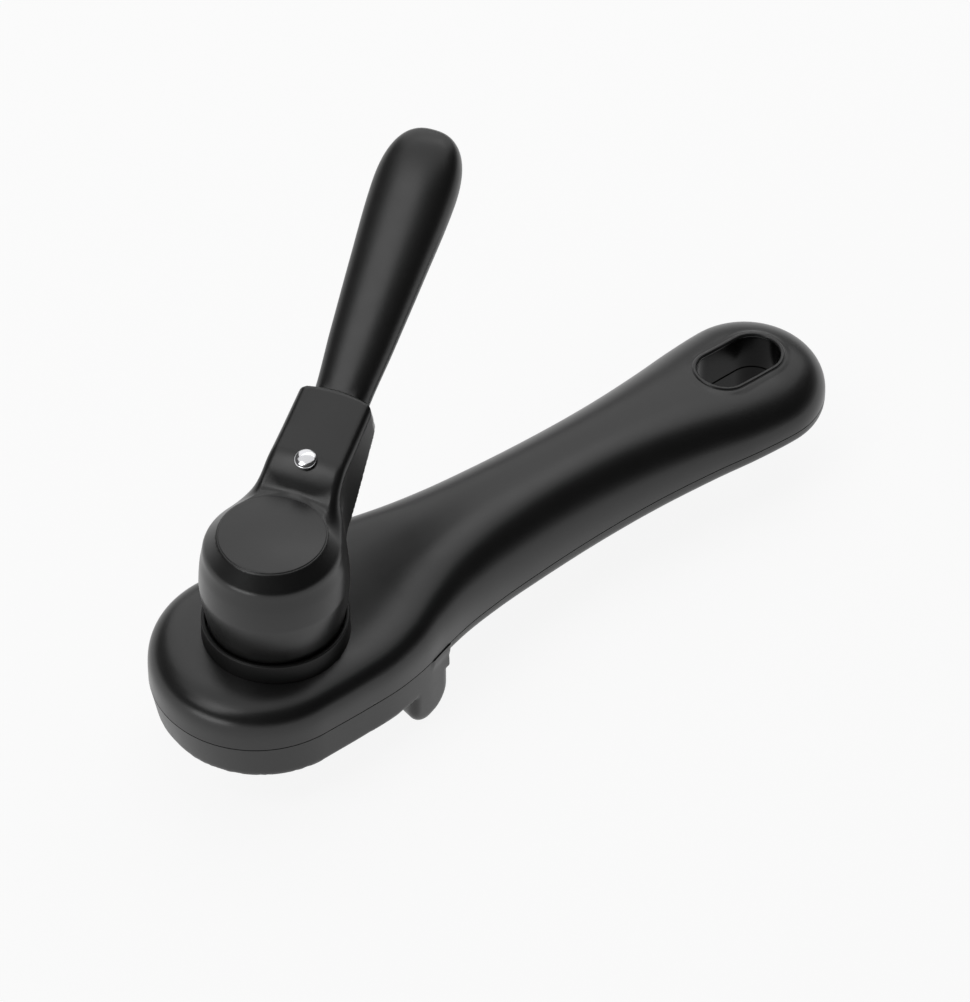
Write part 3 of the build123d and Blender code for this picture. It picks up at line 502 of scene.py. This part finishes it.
def slotDistance(x, y):
    s = np.maximum(np.abs(x - slot["x"]) - (slot["length"] - slot["width"]) / 2, 0)
    return np.hypot(s, y - shell["midY"]) - slot["width"] / 2


def upperArch(x, y, z, inset=0.0):
    xc, r = spineDistance(x, y)
    base = shell["upperZ"] + seamRise(x)
    return archField(r, z - base, halfWidth(xc) - inset, topHeight(xc) - base - inset, squareness(xc))


def upperField(x, y, z):
    rise = z - shell["upperZ"] - seamRise(x)
    outer = upperArch(x, y, z)
    inner = upperArch(x, y, z, shell["wall"])
    body = np.maximum(outer, -inner)
    s = slotDistance(x, y)
    tube = np.maximum(s - slot["wall"], outer)
    body = softMin(body, tube, slot["fillet"])
    body = softMax(body, -s, slot["rim"])
    body = np.maximum(body, collarHole - np.hypot(x, y))
    return roundMax(body, -rise, shell["seamEdge"])


def lowerField(x, y, z):
    xc, r = spineDistance(x, y)
    w = halfWidth(xc)
    top = shell["partingZ"] + seamRise(x)
    drop = top - z
    d = troughDepth(xc)
    n = shell["trough"]
    rear = shell["troughX"] - x
    outer = np.maximum(archField(r, drop, w, d, n), rear)
    inner = np.maximum(archField(r, drop, w - shell["wall"], d - shell["wall"], n), rear)
    lean = shell["draft"] * np.clip(1 + (y - shell["midY"]) / np.maximum(r, 1), 0, 1)
    side = r - w + lean * np.maximum(drop, 0)
    tray = roundMax(np.maximum(side, x - shell["rearX"]), -z, shell["trayEdge"])
    well = np.maximum(side + shell["wall"], x - shell["rearX"] + shell["wall"])
    well = np.maximum(well, shell["floorZ"] - z)
    mid, half = (leg["x0"] + leg["x1"]) / 2, (leg["x1"] - leg["x0"]) / 2 - leg["round"]
    lz = -leg["depth"] + leg["round"]
    low = np.hypot(np.maximum(np.abs(x - mid) - half, 0), np.minimum(z - lz, 0)) - leg["round"]
    foot = roundMax(roundMax(low, y - leg["innerY"], leg["innerEdge"]), side, leg["edge"])
    foot = np.maximum(foot, leg["below"] - drop)
    body = np.minimum(softMin(outer, tray, shell["trayBlend"]), foot)
    body = np.maximum(body, -softMin(inner, well, shell["wellBlend"]))
    s = slotDistance(x, y)
    tube = np.maximum(np.maximum(s - slot["wall"], outer), drop - slot["tubeDeep"])
    body = softMin(body, tube, slot["lowFillet"])
    body = softMax(body, -s - slot["ledge"], slot["rim"])
    for hx in handleScrews:
        rr = np.hypot(x - hx, y - shell["midY"])
        under = underside(hx)
        body = np.minimum(body, np.maximum(np.maximum(rr - boss["r"], outer), under + boss["rise"] - z))
        body = np.maximum(body, -np.maximum(rr - boss["boreR"], z - under - boss["boreDeep"]))
    for hx, hy in headScrews:
        rr = np.hypot(x - hx, y - hy)
        cone = rr - sink["r"] + np.clip(z, 0, sink["deep"])
        body = np.maximum(body, -np.maximum(cone, z - shell["floorTop"]))
    above = 20 * (z > shell["floorTop"])  # the holes stop at the floor
    body = np.maximum(body, bushHole - np.hypot(x, y) - above)
    gx = np.clip(x, sleeveHole["x0"], sleeveHole["x1"])
    body = np.maximum(body, sleeveHole["r"] - np.hypot(x - gx, y) - above)
    return roundMax(body, -drop, shell["seamEdge"])


def slotBead():
    # round bead that follows the slot's edge over the crown of the handle
    steps = slot["lipSteps"]
    half, r = (slot["length"] - slot["width"]) / 2, slot["width"] / 2 + slot["lipOut"]
    around = 4 * half + 2 * pi * r
    path = np.arange(steps) * around / steps
    x, y = np.zeros(steps), np.zeros(steps)
    for i, t in enumerate(path):
        end = 1
        if t >= around / 2:
            t, end = t - around / 2, -1
        if t < pi * r:
            a = t / r - pi / 2
            x[i], y[i] = end * (half + r * cos(a)), end * r * sin(a)
        else:
            x[i], y[i] = end * (half - (t - pi * r)), end * r
    x, y = x + slot["x"], y + shell["midY"]
    low, high = (np.full(steps, z) for z in slot["lipBetween"])
    for _ in range(40):
        mid = (low + high) / 2
        inside = upperArch(x, y, mid) < slot["lipRise"]
        low, high = np.where(inside, mid, low), np.where(inside, high, mid)
    ring = [(i, (i + 1) % steps) for i in range(steps)]
    path = plainObject("slotEdge", np.stack([x, y, low], -1), [], ring)
    mesh = grown(path, beadTool(), Bead_Radius=slot["lipR"] * mm, Sides=slot["lipSides"], Finish=shellPlastic)
    points = np.array([v.co for v in mesh.vertices]) / mm
    return points, [tuple(p.vertices) for p in mesh.polygons]


def paintSlotShade(obj):
    # the wall of the slot is ungrained as from a polished core; its colour is darker than the grained outside
    # as painted shade in the deep slot
    obj.data.materials.append(slotShadePlastic)
    for face in obj.data.polygons:
        x, y, z = (v / mm for v in face.center)
        inSlot = slotDistance(x, y) < slot["lipOut"] and upperArch(x, y, z) < -slot["deep"]
        # the steep faces inside the slot get the painted shade
        if inSlot and abs(face.normal.z) < slot["steep"]:
            face.material_index = 1


cell = shell["cell"]
shellPoints, shellFaces = skinFromField(upperField, *shell["upperRoom"], cell)
beadPoints, beadFaces = slotBead()
beadFaces = [[i + len(shellPoints) for i in f] for f in beadFaces]
shellPoints = np.concatenate([shellPoints, beadPoints])
upperShell = makePiece("upperShell", shellPoints, [*shellFaces, *beadFaces], shellPlastic)
paintSlotShade(upperShell)
place(upperShell, "housing", "black_shell", "upper_housing")
lowerShell = makePiece("lowerShell", *skinFromField(lowerField, *shell["lowerRoom"], cell), lowerPlastic)
paintSlotShade(lowerShell)
place(lowerShell, "housing", "black_shell", "lower_housing")

# collar and cap, turned
collar = dict(
    r=19.3, inR=18.1, top=29.1, floor=24.5, flangeR=20.4, seat=21.4, flange=2.2, boss=10.0, bore=6.06, low=15.1,
)
flangeUnder = collar["seat"] - collar["flange"]
collarProfile = roundedProfile((
    (collar["bore"], collar["low"], 0),
    (collar["boss"], collar["low"], 0.5),
    (collar["boss"], flangeUnder, 0.4),
    (collar["flangeR"], flangeUnder, 0.3),
    (collar["flangeR"], collar["seat"], 0.2),
    (collar["r"], collar["seat"], 0),
    (collar["r"], collar["top"], 0.62),
    (collar["inR"], collar["top"], 0.35),
    (collar["inR"], collar["floor"], 0.4),
    (collar["bore"], collar["floor"], 0.3),
    (collar["bore"], collar["low"], 0)))
shaftCollar = makePiece("shaftCollar", *latheSkin(collarProfile, 128), collarPlastic, 40)
place(shaftCollar, "housing", "black_collar", "shaft_collar")

cap = dict(r=13.95, top=58.1, crown=1.2, lift=0.02, thick=1.45, skirtR=10.9, skirtIn=9.0, skirt=4.0)
capUnder = cap["top"] - cap["thick"]
skirtEnd = capUnder - cap["skirt"]
capRise = [(cap["r"] * t, cap["top"] + cap["crown"] * (1 - t * t) - cap["lift"], 0)
           for t in (0.93, 0.8, 0.6, 0.4, 0.2, 0.0)]
capProfile = roundedProfile((
    (0, capUnder, 0),
    (cap["skirtIn"], capUnder, 0.3),
    (cap["skirtIn"], skirtEnd, 0.3),
    (cap["skirtR"], skirtEnd, 0.3),
    (cap["skirtR"], capUnder, 0.2),
    (cap["r"], capUnder, 0.2),
    (cap["r"], cap["top"] + cap["lift"], 0.35),
    *capRise))
hubCap = makePiece("hubCap", *latheSkin(capProfile, 128), capPlastic, 40)
place(hubCap, "crank", "black_shell", "hub_cap")

# crank: barrel, arm with its socket, grip
crank = dict(
    deg=28.9, cell=0.5, room=((-21, -22, 24.4), (50, 36, 72)),
    barrel=((25.4, 18.0), (29.3, 18.38), (35, 18.95), (42, 19.3), (48, 19.12), (53.8, 18.5)),
    waistZ=42.0, waist=0.05, even=0.985, low=25.4, lowEdge=0.5, top=58.1, topR=13.95,
    shoulderZ=53.8, shoulderR=17.95, shoulderEdge=0.7, wellR=11.0, wellZ=48.0, seatR=13.0, seatZ=56.6,
    outline=((4, 33.5), (19, 38.2), (27, 43.2), (44.2, 58.6), (45.5, 60.6), (42.0, 69.8), (4, 58.9)),
    ramp=(14.5, 57.4), rampTurn=66.0, rampRound=5.0, tight=3.0, land=0.2,
    round=0.9, rootW=21.6, endW=20.4, endD=45, flare=9.0, flareEnd=25.0, corner=2.2, crown=0.45,
    blend=7.5, blendFrom=1.5, blendOver=8, arch=1.6, archFrom=30, archOver=12,
    panel=2.4, panelStep=0.35, panelEdge=0.4, panelD=30, panelZ=60, panelLean=0.35, panelFade=0.5,
    rimD=44.4, rimZ=66.2, plugTilt=22.0, gripTilt=33.0, lift=-0.3, boreHalf=4.25, boreTop=44.6,
    plugW=13.3, plugT=8.3, plugRound=2.5, plugLen=27.0, mouthW=15.6, mouthT=9.5, mouthRound=4.2, mouthT0=-2.3,
)
barrelRadius = smoothLine(crank["barrel"])
armDir = (cos(radians(crank["deg"])), sin(radians(crank["deg"])))


def crankAxes(x, y):
    return x * armDir[0] + y * armDir[1], -x * armDir[1] + y * armDir[0]


def alongTilt(d, z, d0, z0, tilt):
    a = radians(tilt)
    return (d - d0) * cos(a) + (z - z0) * sin(a), -(d - d0) * sin(a) + (z - z0) * cos(a)


def roundBar(s, u, w, t, corner):
    return roundMax(np.abs(s) - w / 2, np.abs(u) - t / 2, corner)


def hubField(x, y, z):
    r = np.hypot(x, y)
    c = crank
    side = (r - barrelRadius(z) + c["waist"] * np.abs(z - c["waistZ"])) * c["even"]
    cone = (c["shoulderZ"] - c["top"], c["shoulderR"] - c["topR"])
    chamfer = ((r - c["shoulderR"]) * -cone[0] + (z - c["shoulderZ"]) * cone[1]) / np.hypot(*cone)
    barrel = np.maximum(softMax(side, chamfer, c["shoulderEdge"]), z - c["top"] + c["land"])
    d, s = crankAxes(x, y)
    bend = (s / 10) ** 2
    width = c["rootW"] + (c["endW"] - c["rootW"]) * np.clip(d / c["endD"], 0, 1)
    width = width + c["flare"] * np.clip(1 - d / c["flareEnd"], 0, 1) ** 2
    bowed = d + c["arch"] * bend * np.clip((d - c["archFrom"]) / c["archOver"], 0, 1)
    flat = polygonField(bowed, z + c["crown"] * bend, c["outline"]) - c["round"]
    panelTop = (c["panelZ"] - z + c["panelLean"] * (d - c["panelD"])) / c["panelFade"]
    panel = c["panelStep"] * np.clip((flat + c["panel"]) / c["panelEdge"], 0, 1) * np.clip(panelTop, 0, 1)
    ra = radians(c["rampTurn"])
    ramp = (c["ramp"][0] - d) * sin(ra) + (z + c["crown"] * bend - c["ramp"][1]) * cos(ra)
    flat = roundMax(flat, ramp, c["rampRound"])
    arm = roundMax(flat, np.abs(s) - width / 2 + panel, c["corner"])
    # tight behind the cap, wider towards the flanks
    spread = np.clip((np.abs(s) - c["blendFrom"]) / c["blendOver"], 0, 1) ** 2
    body = softMin(barrel, arm, c["tight"] + (c["blend"] - c["tight"]) * spread)
    body = softMax(body, c["low"] - z, c["lowEdge"])
    body = np.maximum(body, -np.maximum(r - c["seatR"], c["seatZ"] - z))
    body = np.maximum(body, -np.maximum(r - c["wellR"], c["wellZ"] - z))
    t, u = alongTilt(d, z, c["rimD"], c["rimZ"], c["plugTilt"])
    plug = np.maximum(roundBar(s, u, c["plugW"], c["plugT"], c["plugRound"]), -t - c["plugLen"])
    t, u = alongTilt(d, z, c["rimD"], c["rimZ"] + c["lift"], c["gripTilt"])
    mouth = np.maximum(roundBar(s, u, c["mouthW"], c["mouthT"], c["mouthRound"]), c["mouthT0"] - t)
    body = np.maximum(body, -np.minimum(plug, mouth))
    bore = np.maximum(np.maximum(np.abs(x), np.abs(y)) - c["boreHalf"], z - c["boreTop"])
    return np.maximum(body, -bore)


crankHub = makePiece("crankHub", *skinFromField(hubField, *crank["room"], crank["cell"]), shellPlastic)
place(crankHub, "crank", "black_shell", "crank_hub")

grip = dict(
    cell=0.7, plan=((-2, 7.3), (16, 8.6), (36, 10.0), (54, 11.1), (63, 11.2)), length=75.0, capT=56.0,
    rootT=8.6, endT=14.4, power=2.5, swell=1.02, startT=-2.0, slack=0.4, endSlack=0.3, plugRound=2.4, plugIn=5,
    neck=0.5, room=((12, 5, 49), (111, 70, 119)),
)
gripWidth = smoothLine(grip["plan"])


def gripField(x, y, z):
    d, s = crankAxes(x, y)
    c, g = crank, grip
    t, u = alongTilt(d, z, c["rimD"], c["rimZ"] + c["lift"], c["gripTilt"])
    w = gripWidth(t) * g["swell"]
    thick = g["rootT"] + (g["endT"] - g["rootT"]) * np.clip((t + 2) / (g["length"] + 4), 0, 1)
    h = thick / 2 * g["swell"]
    past = np.maximum(t - g["capT"], 0) / (g["length"] - g["capT"])
    n = g["power"]
    body = ((past ** n + (np.abs(s) / w) ** n + (np.abs(u) / h) ** n) ** (1 / n) - 1) * h
    body = np.maximum(body, g["startT"] - t)
    t, u = alongTilt(d, z, c["rimD"], c["rimZ"], c["plugTilt"])
    plug = roundBar(s, u, c["plugW"] - g["slack"], c["plugT"] - g["slack"], g["plugRound"])
    plug = np.maximum(plug, np.maximum(-t - c["plugLen"] + g["endSlack"], t - g["plugIn"]))
    return softMin(body, plug, g["neck"])


crankGrip = makePiece("crankGrip", *skinFromField(gripField, *grip["room"], grip["cell"]), gripPlastic)
place(crankGrip, "crank", "black_grip", "crank_grip")

# rivet: domed head on a shank, tilted with the arm's top
rivet = dict(d=21.5, z=64.92, tilt=16.1, headR=2.95, headH=1.4, shankR=1.5, length=15.5)
dome = [(rivet["headR"] * sin(a), rivet["headH"] * (0.3 + 0.7 * cos(a)), 0)
        for a in np.linspace(pi / 2, 0, 10)]
rivetProfile = roundedProfile((
    (0, -rivet["length"], 0),
    (rivet["shankR"], -rivet["length"], 0.3),
    (rivet["shankR"], 0, 0),
    (rivet["headR"], 0, 0.1),
    *dome))
rivetPoints, rivetFaces = latheSkin(rivetProfile, 48)
ta = radians(rivet["tilt"])
rd = rivetPoints[:, 0] * cos(ta) - rivetPoints[:, 2] * sin(ta) + rivet["d"]
rz = rivetPoints[:, 0] * sin(ta) + rivetPoints[:, 2] * cos(ta) + rivet["z"]
rs = rivetPoints[:, 1]
rivetPoints = np.stack([rd * armDir[0] - rs * armDir[1], rd * armDir[1] + rs * armDir[0], rz], -1)
gripRivet = makePiece("gripRivet", rivetPoints, rivetFaces, rivetSteel, 40)
place(gripRivet, "crank", "bright_rivet", "grip_rivet")

# screws and wheels, patterns repeated by geometry nodes
screw = dict(
    r=1.45, shank=4.0, headR=2.7, cone=1.3, panT=1.8, panEdge=0.7, cross=2.6, slit=0.6, slitDeep=0.8,
    flatZ=0.02, panRise=0.95, cell=0.16, room=((-3.0, -3.0, -0.4), (3.0, 3.0, 4.4)),
)


def crossCut(x, y, z):
    a, b = np.abs(x), np.abs(y)
    length, width = screw["cross"] / 2, screw["slit"] / 2
    arms = np.minimum(np.maximum(a - length, b - width), np.maximum(b - length, a - width))
    return np.maximum(arms, z - screw["slitDeep"])


def screwShank(r, z):
    return np.maximum(np.maximum(r - screw["r"], -z), z - screw["shank"])


def flatScrew(x, y, z):
    r = np.hypot(x, y)
    taper = r - screw["headR"] + z * (screw["headR"] - screw["r"]) / screw["cone"]
    head = np.maximum(np.maximum(taper, z - screw["cone"]), -z)
    return np.maximum(np.minimum(head, screwShank(r, z)), -crossCut(x, y, z))


def panScrew(x, y, z):
    r = np.hypot(x, y)
    head = np.maximum(roundMax(r - screw["headR"], -z, screw["panEdge"]), z - screw["panT"])
    return np.maximum(np.minimum(head, screwShank(r, z)), -crossCut(x, y, z))


repeat = repeatTool()
headSpots = [(x, y, screw["flatZ"]) for x, y in headScrews]
handleSpots = [(x, shell["midY"], underside(x) + screw["panRise"]) for x in handleScrews]
screwMesh = bmesh.new()
for name, field, spots, seed in (
        ("flatScrew", flatScrew, headSpots, 3),
        ("panScrew", panScrew, handleSpots, 5)):
    pattern = plainObject(name, *skinFromField(field, *screw["room"], screw["cell"], 2))
    points = plainObject(name + "Spots", spots, [])
    part = grown(points, repeat, Pattern=pattern, Seed=seed, Finish=screwSteel)
    screwMesh.from_mesh(part)
    bpy.data.objects.remove(pattern)
joined = bpy.data.meshes.new("housingScrews")
screwMesh.to_mesh(joined)
screwMesh.free()
housingScrews = finishPiece("housingScrews", joined, screwSteel, 35)
place(housingScrews, "housing", "zinc_screw", "housing_screws")

feed = dict(r=5.5, tooth=0.55, teeth=18, rootHalf=0.8, tipHalf=0.22, sunk=0.1, z0=-8.6, z1=-4.4, square=5.1,
            cell=0.2, room=((-6, -6, -9), (6, 6, -4)))


def feedBody(x, y, z):
    r = np.hypot(x, y)
    disc = np.maximum(r - feed["r"] + feed["tooth"], np.maximum(feed["z0"] - z, z - feed["z1"]))
    return np.maximum(disc, feed["square"] / 2 - np.maximum(np.abs(x), np.abs(y)))


tip = feed["tooth"] + feed["sunk"]
toothOutline = ((0, -feed["rootHalf"]), (tip, -feed["tipHalf"]), (tip, feed["tipHalf"]), (0, feed["rootHalf"]))
toothPoints = [(x, y, z) for z in (feed["z0"], feed["z1"]) for x, y in toothOutline]
toothFaces = [(0, 1, 2, 3), (4, 5, 6, 7)] + [(i, (i + 1) % 4, (i + 1) % 4 + 4, i + 4) for i in range(4)]
tooth = plainObject("feedTooth", toothPoints, toothFaces)
disc = plainObject("feedDisc", *skinFromField(feedBody, *feed["room"], feed["cell"], 2))
rootRadius = (feed["r"] - feed["tooth"] - feed["sunk"]) * mm
feedMesh = grown(disc, toothTool(), Tooth=tooth, Teeth=feed["teeth"], Root_Radius=rootRadius, Finish=wheelSteel)
bpy.data.objects.remove(tooth)
feedWheel = finishPiece("feedWheel", feedMesh, wheelSteel, 30)
place(feedWheel, "crank", "wheel_steel", "feed_wheel")

cutter = dict(x=-19.4, r=8.6, bore=3.06, z0=-7.6, z1=-5.4, bevel=2.4, edge=0.1)
midZ = (cutter["z0"] + cutter["z1"]) / 2
bevelR = cutter["r"] - cutter["bevel"]
cutterProfile = roundedProfile((
    (cutter["bore"], cutter["z0"], 0),
    (bevelR, cutter["z0"], 0.15),
    (cutter["r"], midZ - cutter["edge"], 0),
    (cutter["r"], midZ + cutter["edge"], 0),
    (bevelR, cutter["z1"], 0.15),
    (cutter["bore"], cutter["z1"], 0),
    (cutter["bore"], cutter["z0"], 0)))
cuttingWheel = makePiece("cuttingWheel", *latheSkin(cutterProfile, 120, (cutter["x"], 0)), bladeSteel, 25)
place(cuttingWheel, "cutter", "blade_steel", "cutting_wheel")

# materials of the works that keep their solids
finishes = {
    "bearing_plate": plateSteel, "slide_rails": plateSteel, "cutter_slide": plateSteel,
    "follower_pin": plateSteel, "cutter_axle": plateSteel, "cutter_sleeve": plateSteel,
    "drive_shaft": plateSteel, "shaft_bush": bushBrass, "cam_disc": camPlastic,
    "friction_washer": washerRubber, "axle_clip": screwSteel, "cam_clip": screwSteel,
    "hub_washer": screwSteel, "hub_screw": screwSteel, "feed_screw": screwSteel,
}
for nodeName, material in finishes.items():
    data = nodes[nodeName].data
    data.materials.clear()
    data.materials.append(material)
print("stage: works finished")

# floor, light and camera
stage = dict(x=0.07, floorZ=-11.9, size=12.0, floorHex="#f4f4f4", seen=0.9)
half = stage["size"] / 2
floorMesh = bpy.data.meshes.new("floor")
floorCorners = [(-half, -half, 0), (half, -half, 0), (half, half, 0), (-half, half, 0)]
floorMesh.from_pydata(floorCorners, [], [(0, 1, 2, 3)])
floorMesh.transform(Matrix.Translation((stage["x"], 0, stage["floorZ"] * mm)))
floor = bpy.data.objects.new("floor", floorMesh)
bpy.context.scene.collection.objects.link(floor)

# white to the eye and in reflections, with a share of the shaded paper so that the shadow stays
floorMat, floorTree = newMaterial("pale_paper_floor")
paper = addNode(floorTree, "ShaderNodeBsdfDiffuse")
paper.inputs["Color"].default_value = hexColour(stage["floorHex"])
white = addNode(floorTree, "ShaderNodeEmission", in_Strength=1.0)
path = addNode(floorTree, "ShaderNodeLightPath")
ray = addNode(floorTree, "ShaderNodeMath", {
    0: path.outputs["Is Camera Ray"], 1: path.outputs["Is Glossy Ray"]}, operation="MAXIMUM")
ray = addNode(floorTree, "ShaderNodeMath", {
    0: ray.outputs[0], 1: path.outputs["Is Transmission Ray"]}, operation="MAXIMUM")
part = addNode(floorTree, "ShaderNodeMath", {0: ray.outputs[0]}, operation="MULTIPLY", in_1=stage["seen"])
mixed = addNode(floorTree, "ShaderNodeMixShader", {
    0: part.outputs[0], 1: paper.outputs[0], 2: white.outputs[0]})
addNode(floorTree, "ShaderNodeOutputMaterial", {"Surface": mixed.outputs[0]})
floorMesh.materials.append(floorMat)

# room: pale at the horizon behind and to the left, dim overhead
sky = dict(low=0.95, high=0.10, start=0.02, stop=0.32, bright=(-0.75, 0.66, 0.0), dim=0.35, dimTo=(-0.7, 0.5))
world = bpy.data.worlds.new("studio")
bpy.context.scene.world = world
world.use_nodes = True
worldTree = world.node_tree
worldTree.nodes.clear()
where = addNode(worldTree, "ShaderNodeTexCoord")
height = addNode(worldTree, "ShaderNodeSeparateXYZ", {0: where.outputs["Generated"]})
fade = addNode(worldTree, "ShaderNodeMapRange", {0: height.outputs["Z"]}, interpolation_type="SMOOTHSTEP")
for index, value in enumerate((sky["start"], sky["stop"], sky["low"], sky["high"])):
    fade.inputs[index + 1].default_value = value
facing = addNode(worldTree, "ShaderNodeVectorMath", {0: where.outputs["Generated"]}, operation="DOT_PRODUCT")
facing.inputs[1].default_value = sky["bright"]
share = addNode(worldTree, "ShaderNodeMapRange", {0: facing.outputs["Value"]},
                interpolation_type="SMOOTHSTEP")
for index, value in enumerate((*sky["dimTo"], sky["dim"], 1.0)):
    share.inputs[index + 1].default_value = value
level = addNode(worldTree, "ShaderNodeMath", {0: fade.outputs[0], 1: share.outputs[0]}, operation="MULTIPLY")
room = addNode(worldTree, "ShaderNodeBackground", {"Strength": level.outputs[0]})
room.inputs["Color"].default_value = hexColour("#ffffff")
addNode(worldTree, "ShaderNodeOutputWorld", {"Surface": room.outputs[0]})

camera = dict(
    azimuth=-38.6, elevation=45.5, focusPx=5000.0, pxPerMm=3.871, anchor=(0, 0, 23.3), anchorPx=(276, 628),
    frame=(970, 1002), sensor=36,
)
a, e = radians(camera["azimuth"]), radians(camera["elevation"])
back = np.array((sin(a) * cos(e), -cos(a) * cos(e), sin(e)))
right = np.array((cos(a), sin(a), 0))
up = np.cross(back, right)
away = camera["focusPx"] / camera["pxPerMm"]
dx = (camera["anchorPx"][0] - camera["frame"][0] / 2) / camera["pxPerMm"]
dy = -(camera["anchorPx"][1] - camera["frame"][1] / 2) / camera["pxPerMm"]
eye = np.array(camera["anchor"], float) + away * back - dx * right - dy * up
cameraData = bpy.data.cameras.new("camera")
cameraData.sensor_width = camera["sensor"]
cameraData.lens = camera["sensor"] * camera["focusPx"] / max(camera["frame"])
cameraData.clip_end = 20
cameraObject = bpy.data.objects.new("camera", cameraData)
bpy.context.scene.collection.objects.link(cameraObject)
turn = Matrix([list(right), list(up), list(back)]).transposed().to_4x4()
cameraObject.matrix_world = Matrix.Translation([float(v) * mm for v in eye]) @ turn
bpy.context.scene.camera = cameraObject


def addLamp(name, at, aim, size, power):
    data = bpy.data.lights.new(name, "AREA")
    data.shape = "RECTANGLE"
    data.size, data.size_y = size
    data.energy = power
    obj = bpy.data.objects.new(name, data)
    bpy.context.scene.collection.objects.link(obj)
    z = np.array(at, float) - np.array(aim, float)
    z /= np.linalg.norm(z)
    x = np.cross((0, 0, 1), z) if abs(z[2]) < 0.99 else np.array((1.0, 0, 0))
    x /= np.linalg.norm(x)
    y = np.cross(z, x)
    obj.matrix_world = Matrix.Translation(at) @ Matrix([list(x), list(y), list(z)]).transposed().to_4x4()


addLamp("softboxBack", (0.5, 0.45, 0.62), (0.06, 0.0, 0.03), (1.3, 0.8), 3.5)
addLamp("softboxTop", (0.1, 0.16, 0.95), (0.06, 0.0, 0.02), (1.2, 0.8), 2.6)
addLamp("softboxGrip", (-0.52, 0.1, 0.85), (0.06, 0.03, 0.08), (0.4, 0.5), 1.4)
addLamp("softboxLeft", (-0.8, -0.12, 0.12), (0.02, 0, 0.03), (0.5, 0.3), 1.2)

bpy.context.scene.view_settings.view_transform = "Standard"


print("stage: scene ready")
